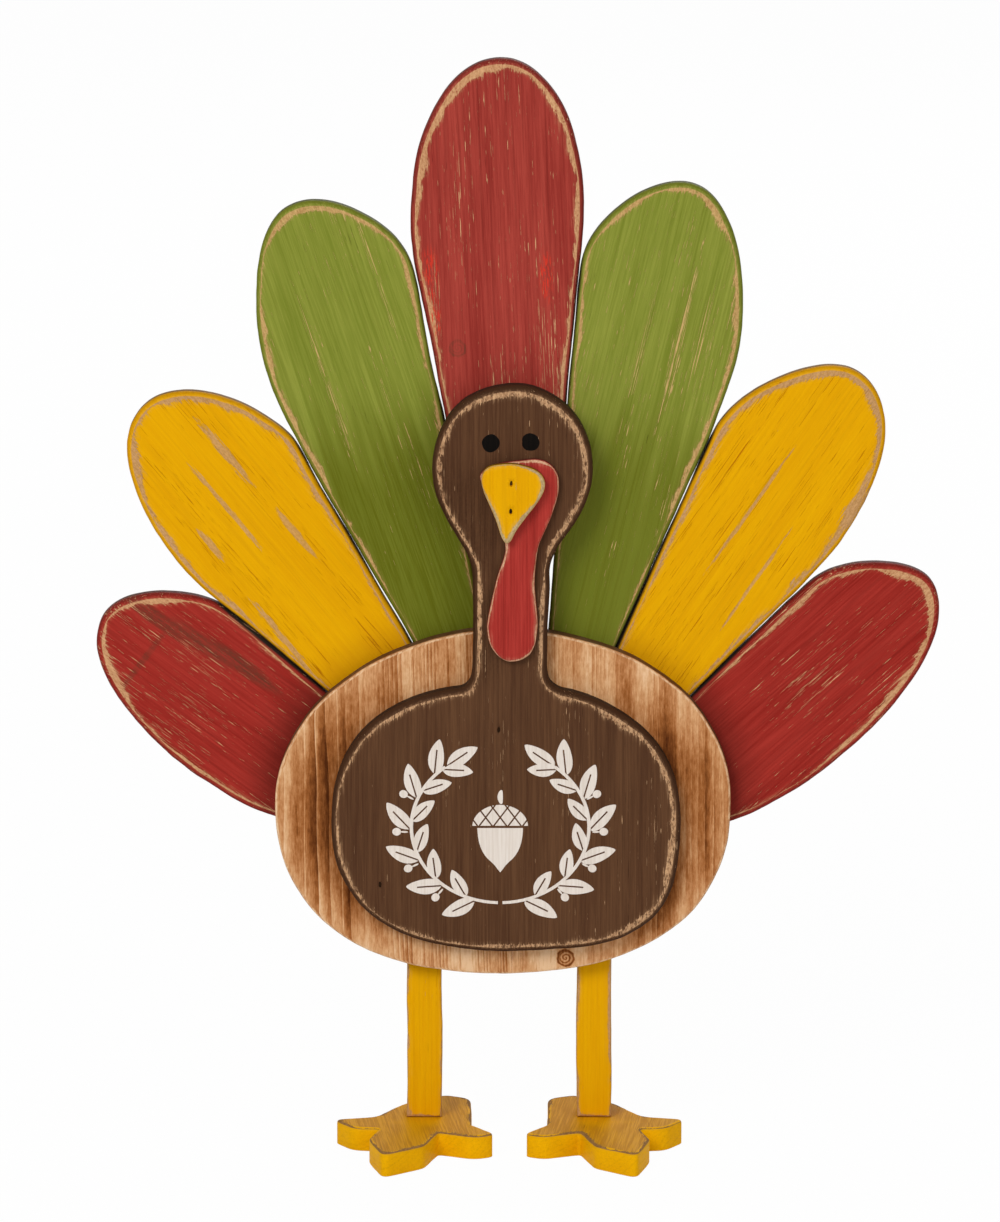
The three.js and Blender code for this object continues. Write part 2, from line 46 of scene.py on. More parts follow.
# Light: each lamp's place and size in metres and its power in watts. The floor lies a small
# gap in metres below the soles, and its size is in metres too.
AMBIENT = 0.38
LAMPS = {
    "key lamp": ((-1.6, -3.2, 2.6), 2.0, 88),
    "fill lamp": ((2.4, -3.0, 1.2), 2.4, 26),
    "back lamp": ((0.8, 3.2, 2.0), 2.4, 34)}
FLOOR_GLOW = 0.975
FLOOR_SIZE = 30
FLOOR_GAP = 0.0002

# Camera
CAMERA_PITCH = math.radians(12)
CAMERA_DISTANCE = 5000
CAMERA_TARGET = Vector((-7.6, 13.1, 302.5))
CAMERA_LENS = 267.2
CAMERA_SENSOR = 36

# Boards: how far each edge is rounded over, and how a board's mesh is made uneven and divided
WELD = 0.01
ARC_WELD = 0.5
SEAM_REACH = 0.6
OUTLINE_STEP = 2.4
FACE_STEP = 3.0
BACK_STEP = 7.0
ROUND_SEGMENTS = 6
BACK_SEGMENTS = 2
SHARP_ANGLE = math.radians(38)
BELOW_ROUND = 1.0
OUTLINE_WOBBLE = 0.7
OUTLINE_WOBBLE_LENGTH = 30
SMALL_WOBBLE = 0.12
SMALL_WOBBLE_LENGTH = 7
ROUND_WOBBLE = 0.35
ROUND_WOBBLE_LENGTHS = (9, 3.5)
# How far from the next feather the painted shade in the gap reaches
CREVICE_REACH = 4.0
FEATHER_ROUND = 3.6
BODY_ROUND = 1.8
HEAD_ROUND = 4.2
WATTLE_ROUND = 1.7
BEAK_ROUND = 1.5
LEG_ROUND = 1.5
FOOT_ROUND = 1.6
BACK_ROUND = 0.5
SEAM_GAP = 0.02

# Pits for the fasteners: half width, half height and depth
SCREW_PIT = (3.9, 3.9, 1.2)
BRAD_PIT = (0.8, 1.7, 1.0)
PIT_SEGMENTS = 20

# Screws
SCREW_HEAD_RADIUS = 3.6
SCREW_HEAD_EDGE = 0.4
SCREW_HEAD_DEPTH = 2.6
SCREW_SHANK_RADIUS = 1.6
SCREW_SHANK_LENGTH = 3.0
SCREW_SEGMENTS = 32
CROSS_ARM = 2.1
CROSS_HALF_WIDTH = 0.42
CROSS_DEPTH = 1.2
CROSS_TAPER = 0.12
TURN_PER_SCREW = 0.7

# Painted details on the head board
PAINT_THICKNESS = 0.2
PAINT_BED = 0.1
PAINT_LAYER = 0.012
PAINT_LAYERS = 7
EYE_RADIUS = 4.9
EYE_SEGMENTS = 40
EYE_WOBBLE = 0.12
EYES = {"painted_eye_left": (-12.7, 401.4), "painted_eye_right": (9.1, 402.0)}

# Belly design: two leafy sprigs that curve up round an acorn
DESIGN_CENTRE = (-7.5, 186.0)
WREATH_HALF_WIDTH = 49
WREATH_HALF_HEIGHT = 43
WREATH_START = math.radians(-88.5)
WREATH_END = math.radians(52)
STEM_HALF_WIDTH = 0.95
STEM_STEPS = 30
LEAF_SHARES = (0.1, 0.27, 0.44, 0.61, 0.78, 0.93)
INNER_LEAF_LAG = 0.05
LEAF_SPREAD = math.radians(40)
OUTER_LEAF = (20.0, 8.6)
INNER_LEAF = (16.5, 7.6)
LEAF_SEGMENTS = 28
VEIN_HALF_WIDTH = 0.42
VEIN_SHARE = 0.74
BERRY_SHARES = (0.262, 0.432, 0.602, 0.772)
BERRY_SPREAD = math.radians(84)
BERRY_RADIUS = 2.2
BERRY_REACH = 8.2
BERRY_SEGMENTS = 20
STALK_HALF_WIDTH = 0.55
STALK_SEGMENTS = 12
NUT_HALF_WIDTH = 12.6
NUT_LENGTH = 23.0
CAP_HALF_WIDTH = 15.4
CAP_HEIGHT = 12.5
CAP_GAP = 1.3
CAP_NET_PITCH = 6.4
CAP_NET_HALF_WIDTH = 0.42
ACORN_SEGMENTS = 48
ACORN_STALK_HALF_WIDTH = 1.5
ACORN_STALK_LENGTH = 8.0


def srgb(red, green, blue):
    """A colour written as on a screen, 0 to 255, as the renderer's plain numbers."""
    shares = [value / 255 for value in (red, green, blue)]
    plain = [s / 12.92 if s <= 0.04045 else ((s + 0.055) / 1.055) ** 2.4 for s in shares]
    return (*plain, 1.0)


# Share of the usual reflection that dry paint and bare wood give back, and metal
PAINT_GLOSS = 0.035
METAL_GLOSS = 0.5

# Two tones of each paint, its colour over the rounded edge, which is also the colour of the painted
# shade near the body, the wood that shows and its stains
PAINTS = {
    "red_paint": dict(
        paint=srgb(138, 44, 37), streak=srgb(172, 68, 57), edge=srgb(98, 34, 26),
        bare=srgb(216, 170, 124), bare_dark=srgb(176, 122, 82), stain=srgb(92, 56, 40)),
    "green_paint": dict(
        paint=srgb(116, 126, 40), streak=srgb(142, 148, 60), edge=srgb(96, 100, 18),
        bare=srgb(208, 170, 112), bare_dark=srgb(170, 126, 78), stain=srgb(98, 80, 40)),
    "yellow_paint": dict(
        paint=srgb(222, 157, 0), streak=srgb(230, 169, 1), edge=srgb(196, 134, 6),
        bare=srgb(204, 158, 110), bare_dark=srgb(168, 124, 78), stain=srgb(190, 124, 40)),
    "brown_paint": dict(
        paint=srgb(76, 48, 31), streak=srgb(100, 68, 45), edge=srgb(60, 38, 24),
        bare=srgb(216, 173, 130), bare_dark=srgb(150, 108, 76), stain=srgb(48, 28, 15))}
DEEP_RED = dict(paint=srgb(138, 32, 25), streak=srgb(168, 52, 43))
WATTLE_TONES = dict(paint=srgb(150, 42, 36), streak=srgb(180, 60, 52), bare=srgb(230, 186, 152))
BEAK_TONES = dict(bare=srgb(200, 176, 130), bare_dark=srgb(150, 128, 92))
FOOT_TONES = dict(
    paint=srgb(232, 168, 0), streak=srgb(242, 180, 2), bare=srgb(160, 118, 74),
    bare_dark=srgb(108, 80, 54), stain=srgb(176, 115, 20))
CHIP_RED = srgb(208, 56, 40)
# Near black, for the painted shade in the gaps between feathers and on their side walls
CREVICE_SHADE = (0.02, 0.014, 0.01, 1.0)
CREAM = srgb(232, 222, 212)
CREAM_WORN = srgb(188, 168, 146)
EYE_BLACK = srgb(9, 7, 6)
EYE_WORN = srgb(34, 26, 20)
ZINC = srgb(176, 178, 180)
ZINC_DARK = srgb(112, 112, 114)
BRAD_DARK = srgb(36, 25, 17)
BRAD_RUST = srgb(62, 40, 24)
FLOOR_WHITE = (0.88, 0.88, 0.88, 1.0)
WOOD_ARRIS = srgb(238, 204, 164)
WOOD_WALL = srgb(70, 44, 24)
WOOD_TONE = 0.72
WOOD_TONES = (
    (0.0, srgb(80, 38, 12)), (0.2, srgb(116, 63, 26)), (0.4, srgb(156, 94, 47)),
    (0.6, srgb(188, 128, 80)), (0.8, srgb(214, 162, 114)), (1.0, srgb(232, 192, 150)))

# A pith is its place across and behind the board, and how far it leans for each mm of height
SEAM_PLACE = -0.94
LEFT_RINGS = dict(pith=(-125, 200, 0.033), ring=0.8, bend=2)
RIGHT_RINGS = dict(pith=(150, 120, -0.01), ring=1.5, bend=3)
FOOT_RINGS = dict(pith=(-50, -70, 0), ring=3.1, bend=4)
FOOT_GRAIN_TURN = math.radians(6)
BODY_KNOT = dict(across=28.8, along=108.5, radius=4.4)
# Where the dark of the body's side wall ends, as a way along its rim
BODY_WALL_END = (-13.8, -12.4)

# Ovals, as their centre and half size: the body's outline, and the band round the head board's belly
# where the body is scorched and painted with shade
BODY_OVAL = ((-5.9, 196.9), (126.0, 97.5))
SCORCH_AND_SHADE_OVAL = ((-4.3, 190.0), (96.5, 75.4))

# How a board's paint is worn, and how much painted shade lies near the body and on its side walls,
# unless it says otherwise
WEAR_AND_SHADE = dict(
    start=-1.3, width=1.9, ragged=2.2, gaps=0.36, favour=(0, 0, 0), scratches=0.21, cracks=0.18,
    rub=0, low=0, edge_share=0.6, wall_shade=0.7)

# Swells are x, z, reach and growth of a side's outline
NECK_SWELLS = ((20, 322, 25, 1.5),)
WATTLE_SWELLS = ((-18, 373, 13, -1.3), (-16, 388, 11, 1.6))
BEAK_SWELLS = ((-16.5, 379, 16, 0.8),)

# Each feather's paint, its small shift across and up and turn in degrees towards where the real
# feather sits, its swells, and its wear and its painted shade near the body. Spots, stains, strings
# and chips are patches across and along the feather from its middle: their place, half width, half
# length and share.
FEATHERS = {
    "tail_feather_centre": (
        "red_paint", (0, 0, 0), ((-46, 448, 45, -1.0), (31, 415, 35, 0.4)),
        dict(favour=(0, 0, 0.007), width=1.15, scratches=0.32,
             knot_at=dict(across=-20.8, along=21.2, radius=4.2),
             strings=((-31, 44, 3, 34, 0.6), (26, 60, 3, 60, 0.5)),
             chips=((-34, 63, 5, 16, 1), (-32, 38, 3, 14, 1), (29.4, 59, 4, 15, 1)))),
    "tail_feather_left_inner": (
        "green_paint", (0.75, -0.25, -0.31),
        ((-46, 448, 45, -1.1), (-118, 396, 28, 0.3), (-68, 303, 44, -0.9)),
        dict(favour=(-0.008, 0, 0.004), width=1.3, scratches=0.28, low=0.85,
             strings=((33, 97, 3, 34, 1), (-11, 60, 2.5, 70, 0.7), (20, 20, 8, 60, 0.5)))),
    "tail_feather_right_inner": (
        "green_paint", (0.6, -0.1, -0.49), ((31, 415, 35, 0.5), (107, 396, 30, 0.9)),
        dict(favour=(0.008, 0, 0.004), width=1.2, scratches=0.31, low=0.62,
             strings=((6, 52, 3, 46, 1), (17, 70, 2.5, 40, 0.8), (-13, 60, 2.5, 40, 0.8)))),
    "tail_feather_left_middle": (
        "yellow_paint", (1.27, 1.75, 0),
        ((-130, 277, 60, 0.5), (-108, 254, 28, 0.6), (-118, 396, 28, 0.8)),
        dict(favour=(-0.005, 0, 0.003), width=1.5, scratches=0.14, cracks=0.34,
             spots=((18, 77, 2.6, 24, 0.88), (-1, 54, 1.5, 31, 0.8), (-21, 42, 1.8, 13, 0.8),
                    (19, 17, 1.9, 17, 0.75), (-24, -22, 1.9, 26, 0.85)))),
    "tail_feather_right_middle": (
        "yellow_paint", (-0.2, 0.2, -0.5), ((107, 396, 30, 0.6), (104, 260, 50, 0.9)),
        dict(favour=(0.002, 0, 0.004), width=1.5, scratches=0.14, cracks=0.35,
             spots=((-9, 24, 1.1, 44, 0.78), (16, -2, 1.0, 32, 0.75), (38, 60, 4.2, 14, 1)))),
    "tail_feather_left_outer": (
        "red_paint", (2.8, 0.25, 0.5),
        ((-130, 277, 60, 0.5), (-108, 254, 28, 0.5), (-147, 190, 32, 2.4)),
        dict(DEEP_RED, favour=(-0.003, 0, 0.008), start=-0.7, width=1.35, scratches=0.4,
             stains=((16, 78, 4.5, 26, 0.7), (19.5, 50, 4.5, 26, 0.8), (23, 24, 4.5, 26, 0.8),
                     (-7, 70, 27, 2.0, 0.55)))),
    "tail_feather_right_outer": (
        "red_paint", (1.1, 0.2, 0),
        ((148, 200, 50, 4.8), (104, 260, 50, 1.1), (127, 184, 26, 1.3)),
        dict(DEEP_RED, favour=(0.002, 0, 0.009), start=-0.7, width=1.15, scratches=0.37))}

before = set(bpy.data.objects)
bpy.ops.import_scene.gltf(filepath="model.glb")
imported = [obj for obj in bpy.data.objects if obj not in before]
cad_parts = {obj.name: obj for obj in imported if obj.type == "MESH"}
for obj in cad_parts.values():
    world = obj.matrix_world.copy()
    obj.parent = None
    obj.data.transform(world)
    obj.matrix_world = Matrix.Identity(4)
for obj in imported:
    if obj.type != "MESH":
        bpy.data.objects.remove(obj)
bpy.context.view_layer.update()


# Outlines and boards

def unique(items):
    """The items in their order, each once."""
    return list(dict.fromkeys(items))


def of_kind(kind, items):
    return [item for item in items if isinstance(item, kind)]


def everything(mesh):
    return mesh.verts[:] + mesh.edges[:] + mesh.faces[:]


def verts_of(faces):
    return unique(vert for face in faces for vert in face.verts)


def box_of(node):
    low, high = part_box(node)
    return low / MM, high / MM


def middle_of(node):
    return sum(box_of(node), Vector()) / 2


def level_of(node, facing=FRONT):
    """How far a node reaches along a direction."""
    return max(corner.dot(facing) for corner in box_of(node))


def parts_of(mesh):
    """The unconnected groups of a mesh's vertices."""
    left = dict.fromkeys(mesh.verts)
    groups = []
    while left:
        group = [next(iter(left))]
        del left[group[0]]
        for vert in group:
            for edge in vert.link_edges:
                other = edge.other_vert(vert)
                if other in left:
                    del left[other]
                    group.append(other)
        groups.append(group)
    return groups


def spread(verts):
    points = [vert.co for vert in verts]
    low = Vector(map(min, zip(*points)))
    high = Vector(map(max, zip(*points)))
    return (high - low).length


def cut_outline(node, facing, rounding):
    """The outer edge of a CAD board just below its rounding, as loose edges in mm."""
    mesh = bmesh.new()
    mesh.from_mesh(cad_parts[node].data)
    ops.scale(mesh, vec=(1 / MM, 1 / MM, 1 / MM), verts=mesh.verts[:])
    ops.remove_doubles(mesh, verts=mesh.verts[:], dist=WELD)
    level = level_of(node, facing) - rounding - BELOW_ROUND
    ops.bisect_plane(
        mesh, geom=everything(mesh), dist=WELD, plane_co=facing * level, plane_no=facing,
        clear_inner=True, clear_outer=True)
    groups = sorted(parts_of(mesh), key=spread)
    holes = [vert for group in groups[:-1] for vert in group]
    ops.delete(mesh, geom=holes, context="VERTS")
    return mesh


def even_out(mesh, smooth_passes):
    """Divides an outline's long edges and rounds its small corners off."""
    ops.remove_doubles(mesh, verts=mesh.verts[:], dist=OUTLINE_STEP / 4)
    by_cuts = {}
    for edge in mesh.edges:
        by_cuts.setdefault(int(edge.calc_length() / OUTLINE_STEP), []).append(edge)
    for cuts, edges in sorted(by_cuts.items()):
        if cuts:
            ops.subdivide_edges(mesh, edges=edges, cuts=cuts)
    for _ in range(smooth_passes):
        ops.smooth_vert(
            mesh, verts=mesh.verts[:], factor=0.5, use_axis_x=True, use_axis_y=True, use_axis_z=True)


def board_outline(node, facing, rounding, smooth_passes):
    outline = cut_outline(node, facing, rounding)
    even_out(outline, smooth_passes)
    return outline


def swell_outline(mesh, node, turn, swells):
    """Moves a side of an outline out or in round some places."""
    centre = middle_of(node)
    across = Matrix.Rotation(-turn, 3, "Y") @ ACROSS
    for x, z, reach, growth in swells:
        side = math.copysign(1, (Vector((x, 0, z)) - centre).dot(across))
        for vert in mesh.verts:
            away = math.hypot(vert.co.x - x, vert.co.z - z) / reach
            if away < 1 and (vert.co - centre).dot(across) * side > 0:
                vert.co += across * (side * growth * (1 - away * away) ** 2)


def move_outline(mesh, node, shift_x, shift_z, degrees):
    """Brings a feather's outline closer to where the real feather sits."""
    centre = middle_of(node)
    place = Matrix.Translation(centre + Vector((shift_x, 0, shift_z)))
    place = place @ Matrix.Rotation(math.radians(degrees), 4, "Y") @ Matrix.Translation(-centre)
    ops.transform(mesh, matrix=place, verts=mesh.verts[:])


def facing_faces(mesh, direction, level):
    """The flat faces of a board that look along a direction at a level."""
    return [
        face for face in mesh.faces
        if face.normal.dot(direction) > 0.99
        and abs(face.calc_center_median().dot(direction) - level) < WELD]


def turned_to(facing):
    """The turn that brings +Z to a direction."""
    return facing.to_track_quat("Z", "Y").to_matrix().to_4x4()


def oval(mesh, half_width, half_height, segments, place=Matrix(), filled=True):
    """A flat oval that faces along a place's Z: its vertices."""
    size = Matrix.Diagonal((half_width, half_height, 1, 1))
    made = ops.create_circle(mesh, cap_ends=filled, segments=segments, radius=1, matrix=place @ size)
    return made["verts"]


def pull_edges(mesh, edges):
    """Extrudes loose edges: the new vertices, and the new edges between them."""
    grown = ops.extrude_edge_only(mesh, edges=edges)["geom"]
    verts = of_kind(BMVert, grown)
    return verts, [edge for edge in of_kind(BMEdge, grown) if all(v in verts for v in edge.verts)]


def thicken(mesh, faces, shift):
    """Extrudes flat faces into a closed solid."""
    grown = ops.extrude_face_region(mesh, geom=faces)["geom"]
    ops.translate(mesh, verts=of_kind(BMVert, grown), vec=shift)
    ops.recalc_face_normals(mesh, faces=mesh.faces[:])


def open_pits(mesh, face, facing, pits):
    """Fills a flat face anew with a pit at each of the places."""
    around = face.edges[:]
    ops.delete(mesh, geom=[face], context="FACES_ONLY")
    rings = []
    for centre, half_width, half_height, _ in pits:
        place = Matrix.Translation(centre) @ turned_to(facing)
        verts = oval(mesh, half_width, half_height, PIT_SEGMENTS, place, filled=False)
        rings.append(unique(edge for vert in verts for edge in vert.link_edges))
        around += rings[-1]
    filled = ops.triangle_fill(mesh, use_beauty=True, edges=around, normal=facing)
    for ring, (_, _, _, depth) in zip(rings, pits):
        verts, low = pull_edges(mesh, ring)
        ops.translate(mesh, verts=verts, vec=-facing * depth)
        ops.contextual_create(mesh, geom=low)
    return of_kind(BMFace, filled["geom"])


def split_faces(mesh, faces, place, direction, weld=WELD / 10):
    """Cuts faces along a plane, and returns the pieces."""
    edges = unique(edge for face in faces for edge in face.edges)
    cut = ops.bisect_plane(
        mesh, geom=verts_of(faces) + edges + faces, dist=weld, plane_co=place, plane_no=direction)
    return of_kind(BMFace, cut["geom"])


def saw_faces(mesh, faces, direction, spacing):
    """Divides flat faces along parallel planes, so that values can vary over them."""
    reach = [vert.co.dot(direction) for face in faces for vert in face.verts]
    rest = faces
    done = []
    place = min(reach) + spacing
    while place < max(reach) - spacing / 4:
        pieces = split_faces(mesh, rest, direction * place, direction, WELD)
        rest = []
        for piece in pieces:
            beyond = piece.calc_center_median().dot(direction) > place
            (rest if beyond else done).append(piece)
        place += spacing
    return done + rest


def outline_distance(points, outline):
    """The distance of each flat point from a closed line through the outline's points."""
    starts = np.array(outline)
    steps = np.roll(starts, -1, axis=0) - starts
    lengths = (steps ** 2).sum(axis=1)
    nearest = np.full(len(points), np.inf)
    for start, step, length in zip(starts, steps, lengths):
        away = points - start
        share = np.clip(away @ step / max(length, 1e-9), 0, 1)
        gap = away - share[:, None] * step
        nearest = np.minimum(nearest, (gap ** 2).sum(axis=1))
    return np.sqrt(nearest)


def ordered_ring(mesh):
    """An outline's points in order round it."""
    first = next(iter(mesh.verts))
    ring = [first]
    before = None
    while True:
        at = ring[-1]
        ways = [edge.other_vert(at) for edge in at.link_edges]
        onward = [vert for vert in ways if vert is not before]
        if not onward or onward[0] is first:
            return [vert.co.copy() for vert in ring]
        before = at
        ring.append(onward[0])


def round_over_path(height, rounding):
    """How far along the rounded edge and the side wall a point lies, below the front face."""
    if height < rounding:
        return rounding * math.acos(1 - height / rounding)
    return rounding * math.pi / 2 + height - rounding


def mark_rim(mesh, facing, back, front, rounding, ring):
    """Keeps in each vertex its way in mm inward from the start of the rounded edge, or outward."""
    sideways = facing.cross(ACROSS)
    flat = [(point.dot(ACROSS), point.dot(sideways)) for point in ring]
    layer = mesh.verts.layers.float.new("rim")
    points = np.array([(v.co.dot(ACROSS), v.co.dot(sideways)) for v in mesh.verts])
    whole = round_over_path(front - back, rounding)
    for vert, reach in zip(mesh.verts, outline_distance(points, flat)):
        height = front - vert.co.dot(facing)
        if reach > rounding - WELD:
            near_front = height < (front - back) / 2
            vert[layer] = reach - rounding if near_front else -whole - reach
        else:
            vert[layer] = -round_over_path(min(max(height, 0), front - back), rounding)
            if front - back - height < WELD:
                vert[layer] -= reach


def hand_sanded(mesh, facing, rounding):
    """Small unevenness of the sawn outline and of the sanded round-over."""
    layer = mesh.verts.layers.float["rim"]
    arc = rounding * math.pi / 2
    broad, fine = ROUND_WOBBLE_LENGTHS
    mesh.normal_update()
    shifts = []
    for vert in mesh.verts:
        flat = vert.co - facing * vert.co.dot(facing)
        shift = noise.noise_vector(flat / OUTLINE_WOBBLE_LENGTH + Vector((3, 7, 1)))
        shift *= OUTLINE_WOBBLE
        shift += noise.noise_vector(flat / SMALL_WOBBLE_LENGTH + Vector((9, 2, 5))) * SMALL_WOBBLE
        shift -= facing * shift.dot(facing)
        on_round = max(0, 1 - abs(vert[layer] + arc / 2) / (arc * 0.75))
        rub = noise.noise(flat / broad + Vector((1, 4, 8))) + 0.6 * noise.noise(flat / fine)
        shift += vert.normal * rub * on_round * ROUND_WOBBLE * rounding / 4
        shifts.append(shift)
    for vert, shift in zip(mesh.verts, shifts):
        vert.co += shift


def carve_board(mesh, node, facing, rounding, front_pits=(), back_pits=(), back_round=BACK_ROUND):
    """An outline becomes a board: rounded over in front, eased behind, with its pits and its rim."""
    back, front = sorted(corner.dot(facing) for corner in box_of(node))
    ring = ordered_ring(mesh)
    for vert in mesh.verts:
        vert.co += facing * (back - vert.co.dot(facing))
    sheet = ops.contextual_create(mesh, geom=mesh.edges[:])["faces"]
    thicken(mesh, sheet, facing * (front - back))
    sides = (
        (facing, front, rounding, ROUND_SEGMENTS, front_pits, FACE_STEP),
        (-facing, -back, back_round, BACK_SEGMENTS, back_pits, BACK_STEP))
    for direction, level, size, segments, _, _ in sides:
        edges = facing_faces(mesh, direction, level)[0].edges[:]
        ops.bevel(
            mesh, geom=edges, offset=size, offset_type="OFFSET", affect="EDGES",
            segments=segments, profile=0.5, material=-1, clamp_overlap=False)
    for direction, level, _, _, pits, step in sides:
        faces = facing_faces(mesh, direction, level)
        if pits:
            faces = open_pits(mesh, faces[0], direction, pits)
        strips = saw_faces(mesh, faces, ACROSS, step)
        saw_faces(mesh, strips, direction.cross(ACROSS), step)
    ops.recalc_face_normals(mesh, faces=mesh.faces[:])
    mark_rim(mesh, facing, back, front, rounding, ring)
    hand_sanded(mesh, facing, rounding)
    return mesh


def pits_for(node, fasteners, facing, size):
    """Pits round the fasteners in a board's face: each one's centre, half sizes and depth."""
    level = level_of(node, facing)
    middles = [middle_of(name) for name in sorted(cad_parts) if name.startswith(fasteners)]
    return [(middle + facing * (level - middle.dot(facing)), *size) for middle in middles]


def add_object(name, data):
    piece = bpy.data.objects.new(name, data)
    bpy.context.scene.collection.objects.link(piece)
    return piece


def finish_mesh(name, mesh, material):
    """Makes the piece's object, in metres, smooth but for its sharp edges."""
    ops.scale(mesh, vec=(MM, MM, MM), verts=mesh.verts[:])
    ops.recalc_face_normals(mesh, faces=mesh.faces[:])
    data = bpy.data.meshes.new(name)
    mesh.to_mesh(data)
    mesh.free()
    data.shade_smooth()
    data.set_sharp_from_angle(angle=SHARP_ANGLE)
    data.materials.append(material)
    return add_object(name, data)


def settle(piece, nodes):
    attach(piece, "root")
    if nodes:
        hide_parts(*nodes)


# Shader wiring

def sum_node(operation, swapped=False):
    """A sum of a value and a second value or number, as a math node."""
    def join(first, second):
        pair = (second, first) if swapped else (first, second)
        return first.wires.math(operation, *pair)
    return join


class Value:
    """A node's output. Sums with it add math nodes, and a | b is the larger of the two."""

    def __init__(self, wires, socket):
        self.wires = wires
        self.socket = socket

    __add__ = sum_node("ADD")
    __sub__ = sum_node("SUBTRACT")
    __rsub__ = sum_node("SUBTRACT", swapped=True)
    __mul__ = sum_node("MULTIPLY")
    __truediv__ = sum_node("DIVIDE")
    __or__ = sum_node("MAXIMUM")

    def __abs__(self):
        return self.wires.math("ABSOLUTE", self)

    def fade(self, start, end, low=0, high=1):
        """Goes smoothly from low to high while the value goes from start to end."""
        inputs = enumerate((self, start, end, low, high))
        return self.wires.value("ShaderNodeMapRange", inputs, interpolation_type="SMOOTHSTEP")


class Wires:
    """Adds nodes to a material's or a group's tree and joins them."""

    def __init__(self, tree):
        self.tree = tree

    def feed(self, socket, value):
        value = getattr(value, "socket", value)
        if isinstance(value, bpy.types.NodeSocket):
            self.tree.links.new(value, socket)
        else:
            socket.default_value = value

    def add(self, kind, inputs=(), **settings):
        """A new node, with its inputs by name or number."""
        node = self.tree.nodes.new(kind)
        for name, value in settings.items():
            setattr(node, name, value)
        for name, value in dict(inputs).items():
            self.feed(node.inputs[name], value)
        return node

    def value(self, kind, inputs=(), output=0, **settings):
        return Value(self, self.add(kind, inputs, **settings).outputs[output])

    def named(self, node):
        """A node's outputs, by name."""
        return SimpleNamespace(**{socket.name: Value(self, socket) for socket in node.outputs})

    def group(self, tree, **inputs):
        return self.named(self.add("ShaderNodeGroup", inputs, node_tree=tree))

    def apart(self, position):
        return self.named(self.add("ShaderNodeSeparateXYZ", {"Vector": position}))

    def attribute(self, name):
        return self.value("ShaderNodeAttribute", output="Fac", attribute_name=name)

    def math(self, operation, *values, clamp=False):
        return self.value(
            "ShaderNodeMath", enumerate(values), operation=operation, use_clamp=clamp)

    def vector(self, operation, *vectors, output="Vector"):
        return self.value("ShaderNodeVectorMath", enumerate(vectors), output, operation=operation)

    def noise(self, position, scale, detail=2, roughness=0.5):
        """Noise, with its turns per mm along X, Y and Z."""
        inputs = {
            "Vector": self.vector("MULTIPLY", position, scale), "Scale": 1, "Detail": detail,
            "Roughness": roughness}
        return self.value("ShaderNodeTexNoise", inputs, "Fac")

    def streaks(self, position, across, along, detail=2, roughness=0.5):
        """Noise drawn out along the grain, with its turns per mm across the grain and along it."""
        return self.noise(position, (across, across, along), detail, roughness)

    def ramp(self, value, stops):
        node = self.add("ShaderNodeValToRGB", {"Fac": value})
        elements = node.color_ramp.elements
        while len(elements) < len(stops):
            elements.new(0.5)
        for element, (place, colour) in zip(elements, stops):
            element.position = place
            element.color = colour
        return node.outputs["Color"]

    def mix(self, share, first, second, blend="MIX"):
        inputs = {0: share, 6: first, 7: second}
        return self.value("ShaderNodeMix", inputs, 2, data_type="RGBA", blend_type=blend)


def effect(vectors, values="", colours=""):
    """Makes a shader node group from the function that fills it, which gets the wires and the
    named inputs, and gives the outputs by name."""
    def build(fill):
        tree = bpy.data.node_groups.new(fill.__name__.replace("_", " "), "ShaderNodeTree")

        def add_sockets(way, kind, labels):
            for label in labels:
                tree.interface.new_socket(name=label, in_out=way, socket_type="NodeSocket" + kind)

        add_sockets("INPUT", "Vector", vectors.split())
        add_sockets("INPUT", "Float", values.split())
        add_sockets("INPUT", "Color", colours.split())
        w = Wires(tree)
        made = fill(w, w.named(w.add("NodeGroupInput")))
        for label in made:
            add_sockets("OUTPUT", "Color" if label == "colour" else "Float", [label])
        w.add("NodeGroupOutput", made)
        return tree
    return build


@effect(vectors="position")
def brushed_grain(w, given):
    """Streaks along Z of three widths, for wood grain and brush marks. Position is in mm."""
    fine = w.streaks(given.position, 0.9, 0.022, detail=3, roughness=0.75)
    broad = w.streaks(given.position, 0.11, 0.007)
    thread = w.streaks(given.position, 0.75, 0.01, roughness=0.6)
    return {
        "fine": fine.fade(0.33, 0.67), "broad": broad.fade(0.32, 0.68),
        "thread": thread.fade(0.52, 0.68), "height": broad * 0.6 + fine}


@effect(vectors="place position favour", values="rim start width ragged gaps")
def sanded_line(w, given):
    """Bare wood along a rounded edge: crisp outside, torn along the grain inside, and uneven."""
    position = given.position
    wander = w.noise(position, (0.05, 0.05, 0.05)) - 0.5
    start = wander * given.width + given.start
    swell = w.noise(position, (0.035, 0.035, 0.028), detail=3, roughness=0.65)
    favour = w.vector("DOT_PRODUCT", given.place, given.favour, output="Value") + 1 | 0.25
    width = swell.fade(0.34, 0.64, 0.18, 1.7) * favour * given.width
    splinter = w.streaks(position, 1.3, 0.1, detail=3, roughness=0.7).fade(0.42, 0.75)
    spike = splinter * given.ragged * w.math("MINIMUM", width, 1)
    outside = given.rim - start
    inside = start + (width + spike) - given.rim
    speck = w.noise(position, (0.9, 0.9, 0.35), detail=3, roughness=0.7)
    hold = speck.fade(given.gaps - 0.07, given.gaps + 0.05)
    return {
        "worn": outside.fade(-0.15, 0.15) * inside.fade(-0.2, 0.2) * hold,
        "thin": outside.fade(-1.6, 0.2) * inside.fade(-2.4, 0.3)}


